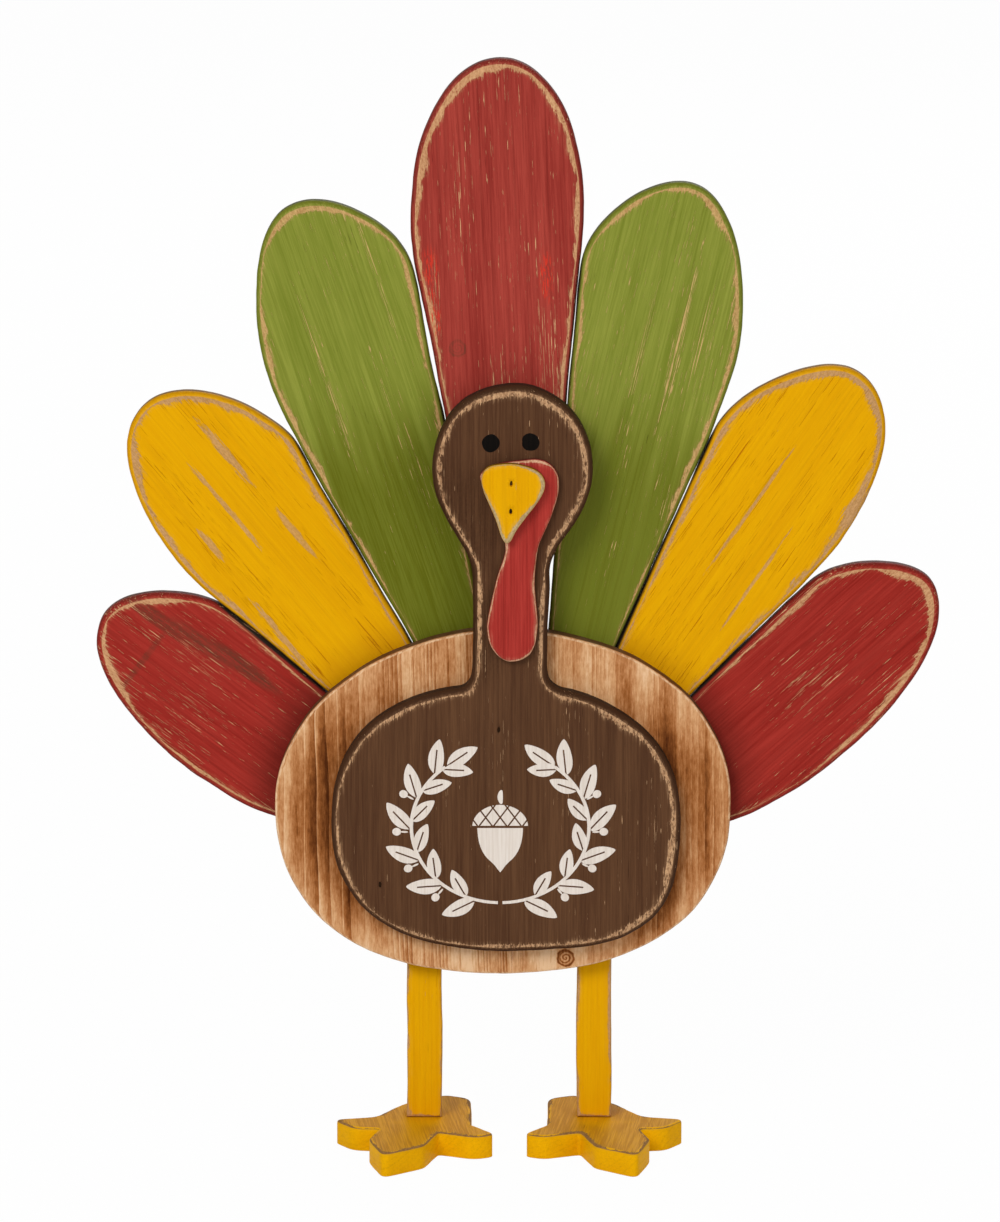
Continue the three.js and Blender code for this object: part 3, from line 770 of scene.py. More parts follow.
@effect(vectors="position", values="amount")
def scratches(w, given):
    """Fine marks along the grain, strung along a few lines and gathered in patches."""
    lines = w.streaks(given.position, 0.62, 0.004, detail=1)
    ridge = abs(lines - 0.5).fade(0.055, 0, 0, 0.4)
    flecks = w.streaks(given.position, 1.7, 0.11, roughness=0.6)
    patches = w.streaks(given.position, 0.05, 0.014, roughness=0.6)
    level = patches * 0.6 + (ridge + flecks)
    edge = 1.6 - given.amount
    return {"scratched": level.fade(edge, edge + 0.05)}


@effect(vectors="place position", values="across along half_width half_length")
def rubbed_spot(w, given):
    """A patch drawn out along the grain with torn edges, from its middle and half sizes in mm."""
    parts = w.apart(given.place)
    x = (parts.X - given.across) / given.half_width
    z = (parts.Z - given.along) / given.half_length
    far = x * x + z * z
    torn = w.streaks(given.position, 1.1, 0.07, detail=3, roughness=0.7)
    level = torn * 4.4 + (far - 2.25)
    return {"spot": level.fade(0.95, 0.6), "near": far.fade(1.5, 0.05)}


@effect(vectors="position", values="across along radius")
def knot(w, given):
    """A small round knot: a dark ring and a spiral of rings round it."""
    parts = w.apart(given.position)
    x = parts.X - given.across
    z = parts.Z - given.along
    wobble = w.noise(given.position, (0.3, 0.3, 0.3))
    far = w.math("SQRT", x * x + z * z) * (wobble * 0.5 + 0.75)
    share = far / given.radius
    rings = w.math("SINE", share * 15 + w.math("ARCTAN2", z, x))
    ring = abs(share - 1).fade(0.24, 0.04)
    heart = share.fade(1, 0.85) * rings.fade(-0.5, 0.9, 0.15, 0.85)
    return {"dark": ring | heart, "near": share.fade(2.6, 0.9)}


@effect(vectors="position pith", values="ring bend")
def growth_rings(w, given):
    """Growth rings round a pith that runs along Z: how far through its ring a place is, and how
    strong that ring shows."""
    bend = w.noise(given.position, (0.025, 0.025, 0.005))
    fine = w.noise(given.position, (0.5, 0.5, 0.02))
    parts = w.apart(given.position)
    pith = w.apart(given.pith)
    x = parts.X - pith.X + parts.Z * pith.Z
    y = parts.Y - pith.Y
    far = bend * given.bend + w.math("SQRT", x * x + y * y)
    count = fine * 0.2 + far / given.ring
    number = {"W": w.math("FLOOR", count)}
    strength = w.value("ShaderNodeTexWhiteNoise", number, "Value", noise_dimensions="1D")
    return {"share": w.math("FRACT", count), "strength": strength}


@effect(vectors="place seed favour", colours="paint streak edge bare bare_dark stain",
        values="rim start width ragged gaps scratches cracks spots stains strings rub low reach "
               "crevice edge_share wall wall_shade back")
def rubbed_paint(w, given):
    """Paint on wood, brushed along the grain, rubbed through along the edge and scratched, with
    painted shade near the body, on side walls and in gaps.
    """
    position = w.vector("ADD", given.place, given.seed)
    elsewhere = w.vector("MULTIPLY_ADD", position, (1, 1, 0.45), (71, 0, 133))
    rim = given.rim
    reach = given.reach
    streaks = w.group(brushed_grain, position=position)
    fine = streaks.fine
    line = w.group(
        sanded_line, position=position, place=given.place, favour=given.favour, rim=rim,
        start=given.start, width=given.width * reach.fade(1.15, 1.9, 0.4, 1),
        ragged=given.ragged, gaps=given.gaps)
    amount = (given.strings * 0.27 + given.scratches) * reach.fade(1.1, 1.6, 0.65, 1)
    scratched = w.group(scratches, position=position, amount=amount).scratched
    cracked = w.group(scratches, position=elsewhere, amount=given.cracks).scratched
    # Brush marks; painted shade that deepens towards the body board and along its edge; and the
    # edge's colour
    tone = streaks.broad * 0.35 + fine * 0.65
    colour = w.mix(tone, given.paint, given.streak)
    low = (streaks.broad * 0.3 + reach).fade(2.65, 1.95) * given.low
    colour = w.mix(streaks.thread * (low * 0.5 + 0.2), colour, given.edge)
    low = w.math("MULTIPLY", low, fine * 0.5 + 0.7, clamp=True)
    near = reach.fade(1.2, 1, 0, 0.5)
    over = (fine * 0.8 + rim).fade(-0.6, -3.4) * given.edge_share
    colour = w.mix(low | near | over, colour, given.edge)
    # Stains, and painted shade on the side wall and in the narrow gaps between boards
    rub = rim.fade(-0.6, 0.8) * given.rub * tone.fade(0.2, 0.75, 0.45, 1) * rim.fade(22, 7, 0.5, 1)
    mottle = w.noise(position, (1.1, 1.1, 0.6), detail=3, roughness=0.7)
    dirt = given.stains * fine.fade(0, 1, 1, 0.5)
    dirt = w.math("MULTIPLY", dirt, mottle.fade(0.36, 0.6, 0.6, 1.15), clamp=True)
    colour = w.mix(rub | dirt, colour, given.stain)
    shade = rim.fade(given.wall + 0.4, given.wall - 1.2) * given.wall_shade
    colour = w.mix(shade | given.crevice.fade(0.5, 0.88), colour, CREVICE_SHADE)
    # Bare wood along the edge and in the spots and scratches
    mottle = fine * 0.4 + mottle.fade(0.35, 0.62, 0, 0.6)
    bare = w.mix(mottle, given.bare_dark, given.bare)
    colour = w.mix(line.thin * fine.fade(0.4, 1, 0.04, 0.3), colour, bare)
    colour = w.mix(cracked * 0.65, colour, given.stain, "MULTIPLY")
    shown = line.worn | given.spots
    colour = w.mix(shown * 0.92, colour, bare)
    colour = w.mix(scratched * 0.85, colour, given.bare)
    shown = shown | scratched
    # The back is bare wood that the paint only half covers
    behind = rim.fade(given.back + 0.6, given.back - 1.2)
    raw = w.mix(streaks.broad, given.bare_dark, given.bare)
    raw = w.mix(tone.fade(0.35, 0.75) * 0.75, raw, given.paint)
    return {
        "colour": w.mix(behind, colour, raw),
        "roughness": (shown | behind) * 0.22 + (fine * 0.12 + 0.5),
        "height": shown * -0.12 + (cracked * -0.12 + streaks.height * 0.16)}


# Materials

def new_material(name, gloss=PAINT_GLOSS):
    """A material with a Principled shader, and the wires to fill it."""
    material = bpy.data.materials.new(name)
    material.use_nodes = True
    shader = material.node_tree.nodes["Principled BSDF"]
    shader.inputs["Specular IOR Level"].default_value = gloss
    return material, Wires(material.node_tree), shader


def fill_shader(w, shader, colour, roughness, height, depth=1.0):
    """Feeds a shader its colour, its roughness and the normals of a height in mm."""
    bump = w.value("ShaderNodeBump", {"Height": height, "Distance": MM * depth})
    for name, value in (("Base Color", colour), ("Roughness", roughness), ("Normal", bump)):
        w.feed(shader.inputs[name], value)


def board_place(w, centre=(0, 0, 0), turn=(0, 0)):
    """Object coordinates in mm from a board's centre, turned so that Z runs along its grain."""
    turned = Matrix.Rotation(turn[1], 4, "Y") @ Matrix.Rotation(turn[0], 4, "X")
    return w.value("ShaderNodeMapping", {
        "Vector": w.value("ShaderNodeTexCoord", output="Object"), "Scale": (1 / MM, 1 / MM, 1 / MM),
        "Rotation": (*turn, 0), "Location": -(turned @ Vector(centre))})


def oval_reach(w, position, centre, half_size):
    """How far out a place is from an upright oval's centre: 1 on the oval."""
    parts = w.apart(position)
    x = (parts.X - centre[0]) / half_size[0]
    z = (parts.Z - centre[1]) / half_size[1]
    return w.math("SQRT", x * x + z * z)


def patch_mask(w, place, position, rows, output):
    """The strongest of several patches. A row is across, along, half width, half length, share."""
    whole = 0
    for *sizes, share in rows:
        sizes = dict(zip(("across", "along", "half_width", "half_length"), sizes))
        patch = w.group(rubbed_spot, place=place, position=position, **sizes)
        whole = getattr(patch, output) * share | whole
    return whole


def painted(slot, node, turn, seed, rounding, spots=(), stains=(), strings=(), chips=(),
            knot_at=None, rings=None, **wear):
    """Rubbed paint for one board, with its own bare spots, brown stains, scratches and chips."""
    material, w, shader = new_material(f"{slot} {node}")
    low, high = box_of(node)
    place = board_place(w, middle_of(node), turn)
    position = w.vector("ADD", place, seed)
    rim = w.attribute("rim")
    stains = patch_mask(w, place, position, stains, "near")
    if knot_at:
        stains = w.group(knot, position=place, **knot_at).dark * 0.6 | stains
    if rings:
        marks = w.group(growth_rings, position=place, **rings)
        stains = marks.share.fade(0.6, 0.95) * marks.strength * 0.27 | stains
    is_feather = node in FEATHERS
    wear = {
        **PAINTS[slot], **WEAR_AND_SHADE, **wear, "place": place, "seed": seed, "rim": rim, "stains": stains,
        "spots": patch_mask(w, place, position, spots, "spot"),
        "strings": patch_mask(w, place, position, strings, "near"),
        "crevice": w.attribute("crevice"), "wall": -rounding * math.pi / 2,
        "back": -round_over_path(min(high - low), rounding),
        # Feathers darken as painted shade near the body, by their reach from its oval
        "reach": oval_reach(w, board_place(w), *BODY_OVAL) if is_feather else 9}
    given = w.group(rubbed_paint, **wear)
    colour = given.colour
    if chips:
        fleck = w.streaks(position, 1.3, 0.17, detail=3, roughness=0.7).fade(0.5, 0.58)
        chipped = patch_mask(w, place, position, chips, "near") * fleck * rim.fade(-2, 0)
        colour = w.mix(chipped, colour, CHIP_RED)
    fill_shader(w, shader, colour, given.roughness, given.height)
    return material


def torched_pine():
    """Bare pine, scorched so that its growth rings stand out, with a pale band on its edge of rubbed
    wood and painted highlight, painted shade beside the head board and painted light low down.
    """
    material, w, shader = new_material("torched_pine")
    place = board_place(w)
    parts = w.apart(place)
    rim = w.attribute("rim")
    streaks = w.group(brushed_grain, position=place)
    heart = w.group(knot, position=place, **BODY_KNOT)
    right = w.math("GREATER_THAN", parts.X, SEAM_PLACE)
    left = 1 - right
    left_rings = w.group(growth_rings, position=place, **LEFT_RINGS)
    right_rings = w.group(growth_rings, position=place, **RIGHT_RINGS)
    share = left * left_rings.share + right * right_rings.share
    strength = left * left_rings.strength + right * right_rings.strength
    band = w.streaks(place, 0.09, 0.004)
    cloud = w.noise(place, (0.06, 0.06, 0.02), detail=3, roughness=0.6)
    fibre = w.streaks(place, 1.5, 0.11, detail=3, roughness=0.75)
    mottle = w.noise(place, (0.5, 0.5, 0.22), detail=3, roughness=0.65)
    tone = (band - 0.5) * 0.8 + WOOD_TONE
    for value, weight in ((cloud, 0.6), (fibre, 0.6), (mottle, 0.5), (streaks.broad, 0.16)):
        tone = (value - 0.5) * weight + tone
    clear = left * 0.45 + cloud.fade(0.35, 0.62, 0.25, 0.6)
    late = share.fade(0.1, 1) * strength.fade(0.1, 1, 0.04, 0.34)
    line = share.fade(0.14, 0.03) * strength.fade(0.2, 0.9, 0, 0.24)
    # Darker beside the head board's belly, at the sides only: scorching, and painted shade
    aside = abs(parts.X - SCORCH_AND_SHADE_OVAL[0][0]).fade(53, 92)
    scorch_and_shade = oval_reach(w, place, *SCORCH_AND_SHADE_OVAL).fade(1.36, 1.05) * aside
    tone = tone - late * clear + line * clear - scorch_and_shade * band.fade(0.3, 0.7, 0.39, 0.33)
    # Painted light: the lower part made lighter, where less light falls on it; the knot darker
    tone = tone + parts.Z.fade(132, 106, 0, 0.12) + heart.near * -0.12 + heart.dark * -0.55
    colour = w.ramp(tone, WOOD_TONES)
    # A pale band on the rounded edge: rubbed wood, and a painted highlight where the edge catches
    # the light
    arris = abs(rim + 1.3).fade(0.9, 0.3, 0, 0.75) * mottle.fade(0.4, 0.6, 0.25, 1)
    colour = w.mix(arris, colour, WOOD_ARRIS)
    wall = -BODY_ROUND * math.pi / 2
    wall = rim.fade(wall + 0.3, wall - 1.2, 0, 0.85) * rim.fade(*BODY_WALL_END)
    colour = w.mix(wall, colour, WOOD_WALL)
    height = heart.dark * -0.15 + streaks.height * 0.14
    fill_shader(w, shader, colour, streaks.fine * 0.15 + 0.5, height)
    return material


def metal(name, colour, dark, roughness):
    """Dull metal with uneven colour and fine scuffs."""
    material, w, shader = new_material(name, METAL_GLOSS)
    position = board_place(w)
    cloud = w.noise(position, (0.9, 0.9, 0.9), detail=4, roughness=0.65).fade(0.35, 0.7)
    scuff = w.noise(position, (3, 3, 3), detail=3, roughness=0.6)
    shader.inputs["Metallic"].default_value = 1.0
    fill_shader(w, shader, w.mix(cloud, colour, dark), scuff * 0.3 + roughness, scuff, 0.05)
    return material


def brushed_paint(name, paint, worn, wear):
    """Plain brushed paint, a little rubbed, for the small painted details."""
    material, w, shader = new_material(name)
    position = w.vector("ADD", board_place(w), (17, 0, 43))
    streaks = w.group(brushed_grain, position=position)
    marks = w.group(scratches, position=position, amount=wear)
    colour = w.mix(streaks.fine * 0.3 | marks.scratched, paint, worn)
    fill_shader(w, shader, colour, streaks.fine * 0.15 + 0.5, streaks.height, 0.1)
    return material


# The boards

def feather_turn(name):
    """The turn about Y that brings a feather's axis upright, from its two screws."""
    along = middle_of(f"{name}_screw_2") - middle_of(f"{name}_screw_1")
    return -math.atan2(along.x, along.z)


def mark_crevices(mesh, outlines):
    """Keeps in each vertex by the edge how close the next feather is, from 0 to 1, for the painted
    shade in the gap.
    """
    layer = mesh.verts.layers.float.new("crevice")
    rim = mesh.verts.layers.float["rim"]
    verts = [vert for vert in mesh.verts if vert[rim] < 1]
    points = np.array([(vert.co.x, vert.co.z) for vert in verts])
    gaps = np.minimum.reduce([
        outline_distance(points, [(point.x, point.z) for point in ring]) for ring in outlines])
    for vert, gap in zip(verts, gaps):
        vert[layer] = max(0, 1 - gap / CREVICE_REACH)


def make_board(node, slot, rounding, seed, outline, facing=FRONT, turn=(0, 0), brads=None,
               back_round=BACK_ROUND, neighbours=(), **wear):
    """A painted board that stands for a CAD board, from its outline."""
    front_pits = pits_for(node, brads, facing, BRAD_PIT) if brads else ()
    back_pits = pits_for(node, f"{node}_screw", -facing, SCREW_PIT)
    material = painted(slot, node, turn, seed, rounding, **wear)
    mesh = carve_board(outline, node, facing, rounding, front_pits, back_pits, back_round)
    if neighbours:
        mark_crevices(mesh, neighbours)
    settle(finish_mesh(f"{node}_finished", mesh, material), [node])


def make_feathers():
    outlines = {}
    for node, (_, fit, swells, _) in FEATHERS.items():
        outlines[node] = board_outline(node, FRONT, FEATHER_ROUND, 5)
        move_outline(outlines[node], node, *fit)
        swell_outline(outlines[node], node, feather_turn(node), swells)
    rings = {node: ordered_ring(outline) for node, outline in outlines.items()}
    for number, (node, (slot, _, _, wear)) in enumerate(FEATHERS.items()):
        make_board(
            node, slot, FEATHER_ROUND, (211 * number, 0, 97 * number), outlines[node],
            turn=(0, feather_turn(node)),
            neighbours=[ring for other, ring in rings.items() if other != node], **wear)


def make_head_boards():
    """The head board, and the wattle and the beak on it."""
    outline = board_outline("head_board", FRONT, HEAD_ROUND, 3)
    swell_outline(outline, "head_board", 0, NECK_SWELLS)
    make_board(
        "head_board", "brown_paint", HEAD_ROUND, (31, 0, 57), outline, brads="belly_brad",
        start=-1.6, width=1.6, ragged=1.7, gaps=0.455, favour=(0.004, 0, 0.001), scratches=0.24,
        edge_share=0.8, stains=((-28, 74, 24, 44, 0.5), (-12, 22, 14, 30, 0.5)))
    outline = board_outline("wattle", FRONT, WATTLE_ROUND, 2)
    swell_outline(outline, "wattle", 0, WATTLE_SWELLS)
    make_board(
        "wattle", "red_paint", WATTLE_ROUND, (431, 0, 57), outline, start=-1.9, width=0.9,
        ragged=0.5, gaps=0.3, scratches=0.14, edge_share=0.2, **WATTLE_TONES)
    outline = board_outline("beak", FRONT, BEAK_ROUND, 2)
    swell_outline(outline, "beak", 0, BEAK_SWELLS)
    make_board(
        "beak", "yellow_paint", BEAK_ROUND, (531, 0, 57), outline, brads="beak_brad", start=-1.7,
        width=1.3, ragged=0.5, gaps=0.3, favour=(0.03, 0, -0.02), edge_share=0.5, **BEAK_TONES)


def make_legs_and_feet():
    for number, node in enumerate(("left_leg", "right_leg")):
        make_board(
            node, "yellow_paint", LEG_ROUND, (700 + 100 * number, 0, 57),
            board_outline(node, FRONT, LEG_ROUND, 0), back_round=LEG_ROUND, start=-2.2,
            width=1.5, ragged=0.7, cracks=0.2, edge_share=0.3, wall_shade=0.2)
    for number, node in enumerate(("left_foot", "right_foot")):
        grain_turn = -FOOT_GRAIN_TURN if number else FOOT_GRAIN_TURN
        make_board(
            node, "yellow_paint", FOOT_ROUND, (900 + 100 * number, 0, 57),
            board_outline(node, UP, FOOT_ROUND, 1), UP, (math.pi / 2, grain_turn), start=-1.7,
            width=1.2, ragged=2, gaps=0.3, scratches=0.18, cracks=0.25, rub=0.8, edge_share=0,
            wall_shade=0, rings=FOOT_RINGS, **FOOT_TONES)


def body_outline():
    """The oval of both body boards together, from their outer arcs, and their seam's place."""
    seam = (box_of("body_board_left")[1].x + box_of("body_board_right")[0].x) / 2
    whole = bmesh.new()
    for side in ("left", "right"):
        half = cut_outline(f"body_board_{side}", FRONT, BODY_ROUND)
        straight = [
            edge for edge in half.edges
            if all(abs(vert.co.x - seam) < SEAM_REACH for vert in edge.verts)]
        ops.delete(half, geom=straight, context="EDGES_FACES")
        loose = [vert for vert in half.verts if not vert.link_edges]
        ops.delete(half, geom=loose, context="VERTS")
        arc = bpy.data.meshes.new("arc")
        half.to_mesh(arc)
        half.free()
        whole.from_mesh(arc)
        bpy.data.meshes.remove(arc)
    ops.remove_doubles(whole, verts=whole.verts[:], dist=ARC_WELD)
    return whole, seam


def make_body():
    """One oval panel, cut at the seam into its two boards."""
    outline, seam = body_outline()
    even_out(outline, 4)
    whole = carve_board(outline, "body_board_left", FRONT, BODY_ROUND)
    material = torched_pine()
    for side, node in ((1, "body_board_left"), (-1, "body_board_right")):
        mesh = whole.copy()
        cut = ops.bisect_plane(
            mesh, geom=everything(mesh), dist=WELD, plane_co=ACROSS * (seam - side * SEAM_GAP),
            plane_no=ACROSS * side, clear_outer=True)
        ops.contextual_create(mesh, geom=of_kind(BMEdge, cut["geom_cut"]))
        settle(finish_mesh(f"{node}_finished", mesh, material), [node])
    whole.free()


# The fasteners

def screw_head_mesh():
    """A countersunk head that looks along +Z with its top at the origin, with a cross recess."""
    mesh = bmesh.new()
    oval(mesh, SCREW_HEAD_RADIUS, SCREW_HEAD_RADIUS, SCREW_SEGMENTS)
    for direction in (ACROSS, DRAWN_UP):
        for place in (-CROSS_ARM, -CROSS_HALF_WIDTH, CROSS_HALF_WIDTH, CROSS_ARM):
            split_faces(mesh, mesh.faces[:], direction * place, direction)
    arms = []
    for face in mesh.faces:
        middle = face.calc_center_median()
        near, far = sorted((abs(middle.x), abs(middle.y)))
        if far < CROSS_ARM and near < CROSS_HALF_WIDTH:
            arms.append(face)
    rim = [edge for edge in mesh.edges if edge.is_boundary]
    ops.inset_region(
        mesh, faces=arms, thickness=CROSS_TAPER, depth=0, use_boundary=True, use_even_offset=True)
    ops.translate(mesh, verts=verts_of(arms), vec=UP * -CROSS_DEPTH)
    for radius, depth in (
            (SCREW_HEAD_RADIUS, SCREW_HEAD_EDGE), (SCREW_SHANK_RADIUS, SCREW_HEAD_DEPTH),
            (SCREW_SHANK_RADIUS, SCREW_HEAD_DEPTH + SCREW_SHANK_LENGTH)):
        low, rim = pull_edges(mesh, rim)
        for vert in low:
            vert.co.z = 0
            vert.co = vert.co.normalized() * radius - UP * depth
    ops.contextual_create(mesh, geom=rim)
    ops.recalc_face_normals(mesh, faces=mesh.faces[:])
    return mesh


def make_screws():
    material = metal("zinc plated steel", ZINC, ZINC_DARK, 0.3)
    pattern = screw_head_mesh()
    names = sorted(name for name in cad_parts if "_screw" in name)
    for number, name in enumerate(names):
        facing = -UP if name.endswith("_foot_screw") else -FRONT
        middle = middle_of(name)
        top = middle + facing * (level_of(name, facing) - middle.dot(facing))
        spin = Matrix.Rotation(number * TURN_PER_SCREW, 4, "Z")
        place = Matrix.Translation(top) @ turned_to(facing) @ spin
        mesh = pattern.copy()
        ops.transform(mesh, matrix=place, verts=mesh.verts[:])
        settle(finish_mesh(f"{name}_finished", mesh, material), [name])
    pattern.free()


def finish_brads():
    material = metal("dark brad iron", BRAD_DARK, BRAD_RUST, 0.55)
    for name in sorted(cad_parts):
        if "_brad_" in name:
            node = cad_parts[name]
            node.data.materials.clear()
            node.data.materials.append(material)


# The painted details

def raise_paint(mesh):
    """Gives flat paint shapes their thickness. Where strokes cross, one lies over the other."""
    bed = PAINT_BED - level_of("head_board")
    for number, group in enumerate(parts_of(mesh)):
        for vert in group:
            vert.co.y = bed - PAINT_LAYER * (number and 1 + number % PAINT_LAYERS)
    thicken(mesh, mesh.faces[:], FRONT * PAINT_THICKNESS)


def settle_paint(name, mesh, material):
    raise_paint(mesh)
    settle(finish_mesh(name, mesh, material), [])


def make_eyes():
    material = brushed_paint("black paint", EYE_BLACK, EYE_WORN, 0.2)
    for name, (x, z) in EYES.items():
        mesh = bmesh.new()
        centre = Vector((x, -level_of("head_board"), z))
        place = Matrix.Translation(centre) @ turned_to(FRONT)
        for vert in oval(mesh, EYE_RADIUS, EYE_RADIUS, EYE_SEGMENTS, place):
            vert.co += (vert.co - centre) * EYE_WOBBLE * noise.noise(vert.co / 4)
        settle_paint(name, mesh, material)


def lay_on_belly(mesh, faces, x, z, turn):
    """Moves shapes drawn in the XY plane round the origin to a place on the upright board."""
    place = Matrix.Translation((x, 0, z)) @ Matrix.Rotation(turn, 4, "Y")
    lie = Matrix.Rotation(math.pi / 2, 4, "X")
    ops.transform(mesh, matrix=place @ lie, verts=verts_of(faces))


def flat_disc(mesh, half_width, half_height, segments):
    verts = oval(mesh, half_width, half_height, segments)
    return unique(face for vert in verts for face in vert.link_faces)


def drop_faces(mesh, faces, is_gone):
    """Deletes the faces whose middles pass a test, and returns the others."""
    gone = [face for face in faces if is_gone(face.calc_center_median())]
    rest = [face for face in faces if face not in gone]
    ops.delete(mesh, geom=gone, context="FACES")
    return rest


def draw_leaf(mesh, x, z, turn, length, width):
    """A pointed leaf from its foot, with a gap along the lower part of its vein."""
    faces = flat_disc(mesh, width / 2, length / 2, LEAF_SEGMENTS)
    for vert in list(faces[0].verts):
        share = vert.co.y * 2 / length
        vert.co.x *= (1 - share * share) ** 0.2 * (1 - 0.22 * share)
        vert.co.x += width * 0.1 * share * share
        vert.co.y += length * 0.54
    for side in (-VEIN_HALF_WIDTH, VEIN_HALF_WIDTH):
        faces = split_faces(mesh, faces, (side, 0, 0), ACROSS)
    vein = [face for face in faces if abs(face.calc_center_median().x) < VEIN_HALF_WIDTH]
    rest = [face for face in faces if face not in vein]
    top = length * VEIN_SHARE
    vein = split_faces(mesh, vein, (0, top, 0), DRAWN_UP)
    rest += drop_faces(mesh, vein, lambda middle: middle.y < top)
    lay_on_belly(mesh, rest, x, z, turn)


def wreath_place(share, side):
    """A place on the wreath's stem, and the stem's direction there as a turn from upright."""
    angle = WREATH_START + (WREATH_END - WREATH_START) * share
    x = DESIGN_CENTRE[0] + side * WREATH_HALF_WIDTH * math.cos(angle)
    z = DESIGN_CENTRE[1] + WREATH_HALF_HEIGHT * math.sin(angle)
    ahead = (-side * WREATH_HALF_WIDTH * math.sin(angle), WREATH_HALF_HEIGHT * math.cos(angle))
    return x, z, math.atan2(*ahead)


def draw_stem(mesh, side):
    """A thin curved stem, spun as a ring piece and stretched to the wreath's oval."""
    half = STEM_HALF_WIDTH / WREATH_HALF_WIDTH
    ends = [mesh.verts.new((radius, 0, 0)) for radius in (1 - half, 1 + half)]
    edge = mesh.edges.new(ends)
    ops.rotate(mesh, verts=ends, cent=(0, 0, 0), matrix=Matrix.Rotation(WREATH_START, 3, "Z"))
    ops.spin(
        mesh, geom=ends + [edge], cent=(0, 0, 0), axis=(0, 0, 1),
        angle=WREATH_END - WREATH_START, steps=STEM_STEPS, use_duplicate=False)
    faces = mesh.faces[:]
    size = (side * WREATH_HALF_WIDTH, WREATH_HALF_HEIGHT, 1)
    ops.scale(mesh, vec=size, verts=verts_of(faces))
    lay_on_belly(mesh, faces, *DESIGN_CENTRE, 0)


def draw_sprig(side):
    mesh = bmesh.new()
    draw_stem(mesh, side)
    for share in LEAF_SHARES:
        x, z, turn = wreath_place(share, side)
        draw_leaf(mesh, x, z, turn + side * LEAF_SPREAD, *OUTER_LEAF)
        x, z, turn = wreath_place(share + INNER_LEAF_LAG, side)
        draw_leaf(mesh, x, z, turn - side * LEAF_SPREAD, *INNER_LEAF)
    draw_leaf(mesh, *wreath_place(1, side), *OUTER_LEAF)
    for share in BERRY_SHARES:
        x, z, turn = wreath_place(share, side)
        aside = turn + side * BERRY_SPREAD
        reach = Vector((math.sin(aside), math.cos(aside))) * BERRY_REACH
        stalk = flat_disc(mesh, STALK_HALF_WIDTH, BERRY_REACH / 2 - 2, STALK_SEGMENTS)
        lay_on_belly(mesh, stalk, x + reach.x * 0.48, z + reach.y * 0.48, aside)
        berry = flat_disc(mesh, BERRY_RADIUS, BERRY_RADIUS * 1.1, BERRY_SEGMENTS)
        lay_on_belly(mesh, berry, x + reach.x, z + reach.y, aside)
    return mesh


def draw_acorn():
    """A nut below a cap with a net of thin gaps, and a short bent stalk."""
    mesh = bmesh.new()
    nut = flat_disc(mesh, NUT_HALF_WIDTH, NUT_LENGTH, ACORN_SEGMENTS)
    for vert in list(nut[0].verts):
        share = -vert.co.y / NUT_LENGTH
        if share > 0:
            vert.co.x *= (1 - share ** 6) ** 0.5
            vert.co.y *= 1 + 0.12 * max(0, share - 0.9) * 10
    nut = split_faces(mesh, nut, (0, -CAP_GAP / 2, 0), DRAWN_UP)
    nut = drop_faces(mesh, nut, lambda middle: middle.y > -CAP_GAP / 2)
    cap = flat_disc(mesh, CAP_HALF_WIDTH, CAP_HEIGHT, ACORN_SEGMENTS)
    cap = split_faces(mesh, cap, (0, CAP_GAP / 2, 0), DRAWN_UP)
    cap = drop_faces(mesh, cap, lambda middle: middle.y < CAP_GAP / 2)
    for lean in (-1, 1):
        across = Vector((lean, 0.75, 0)).normalized()
        for line in range(-3, 4):
            middle = (line + 0.5) * CAP_NET_PITCH
            for edge in (-CAP_NET_HALF_WIDTH, CAP_NET_HALF_WIDTH):
                cap = split_faces(mesh, cap, across * (middle + edge), across)
            cap = drop_faces(
                mesh, cap, lambda place: abs(place.dot(across) - middle) < CAP_NET_HALF_WIDTH)
    stalk = flat_disc(mesh, ACORN_STALK_HALF_WIDTH, ACORN_STALK_LENGTH / 2, BERRY_SEGMENTS)
    for vert in list(stalk[0].verts):
        vert.co.x += 0.04 * vert.co.y * vert.co.y
        vert.co.y += CAP_HEIGHT + ACORN_STALK_LENGTH / 2 + 0.4
    lay_on_belly(mesh, mesh.faces[:], *DESIGN_CENTRE, 0)
    return mesh


def make_belly_design():
    material = brushed_paint("cream paint", CREAM, CREAM_WORN, 0.15)
    settle_paint("belly_sprig_left", draw_sprig(-1), material)
    settle_paint("belly_sprig_right", draw_sprig(1), material)
    settle_paint("belly_acorn", draw_acorn(), material)


# The setting

def seen_ray(w):
    """1 for rays that show what lies behind, straight, mirrored or through glass, else 0."""
    rays = w.add("ShaderNodeLightPath").outputs
    seen = w.math("MAXIMUM", rays["Is Camera Ray"], rays["Is Glossy Ray"])
    return seen | rays["Is Transmission Ray"]


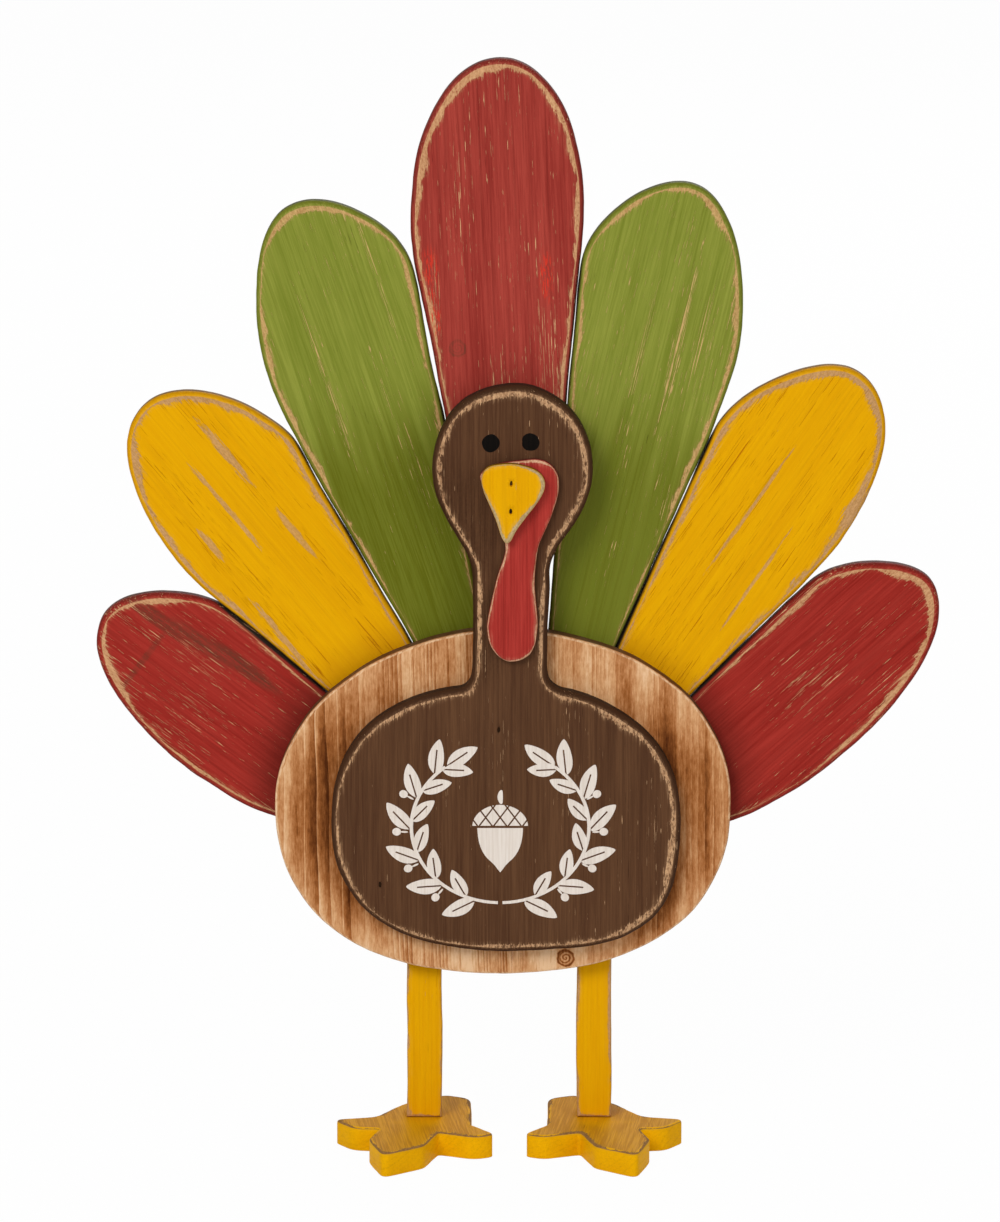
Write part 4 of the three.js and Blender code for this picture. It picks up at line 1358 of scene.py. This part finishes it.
def make_floor():
    mesh = bmesh.new()
    ops.create_grid(mesh, x_segments=1, y_segments=1, size=FLOOR_SIZE)
    ops.translate(mesh, verts=mesh.verts[:], vec=UP * -FLOOR_GAP)
    data = bpy.data.meshes.new("pale_floor")
    mesh.to_mesh(data)
    mesh.free()
    material, w, shader = new_material("pale floor")
    shader.inputs["Base Color"].default_value = FLOOR_WHITE
    shader.inputs["Roughness"].default_value = 0.9
    glow = w.add("ShaderNodeEmission", {"Strength": 1.0})
    both = w.add("ShaderNodeMixShader", {
        0: seen_ray(w) * FLOOR_GLOW, 1: shader.outputs[0], 2: glow.outputs[0]})
    w.feed(w.tree.nodes["Material Output"].inputs["Surface"], both.outputs[0])
    data.materials.append(material)
    add_object("pale_floor", data)


def make_world():
    world = bpy.data.worlds.new("soft white room")
    world.use_nodes = True
    bpy.context.scene.world = world
    w = Wires(world.node_tree)
    ambient = world.node_tree.nodes["Background"]
    ambient.inputs["Color"].default_value = (1, 1, 1, 1)
    w.feed(ambient.inputs["Strength"], seen_ray(w) * (1 - AMBIENT) + AMBIENT)


def make_lamps():
    for name, (place, size, power) in LAMPS.items():
        data = bpy.data.lights.new(name, "AREA")
        data.shape = "DISK"
        data.size = size
        data.energy = power
        light = add_object(name, data)
        light.location = place
        aim = CAMERA_TARGET * MM - light.location
        light.rotation_euler = aim.to_track_quat("-Z", "Y").to_euler()


def make_camera():
    data = bpy.data.cameras.new("camera")
    data.lens = CAMERA_LENS
    data.sensor_width = CAMERA_SENSOR
    data.sensor_fit = "AUTO"
    data.clip_end = 100
    camera = add_object("camera", data)
    back = Vector((0, -math.cos(CAMERA_PITCH), math.sin(CAMERA_PITCH))) * CAMERA_DISTANCE
    camera.location = (CAMERA_TARGET + back) * MM
    camera.rotation_euler = (math.pi / 2 - CAMERA_PITCH, 0, 0)
    bpy.context.scene.camera = camera


make_camera()
make_feathers()
make_body()
make_head_boards()
make_legs_and_feet()
make_screws()
finish_brads()
make_eyes()
make_belly_design()
make_floor()
make_world()
make_lamps()
bpy.context.scene.view_settings.view_transform = "Standard"
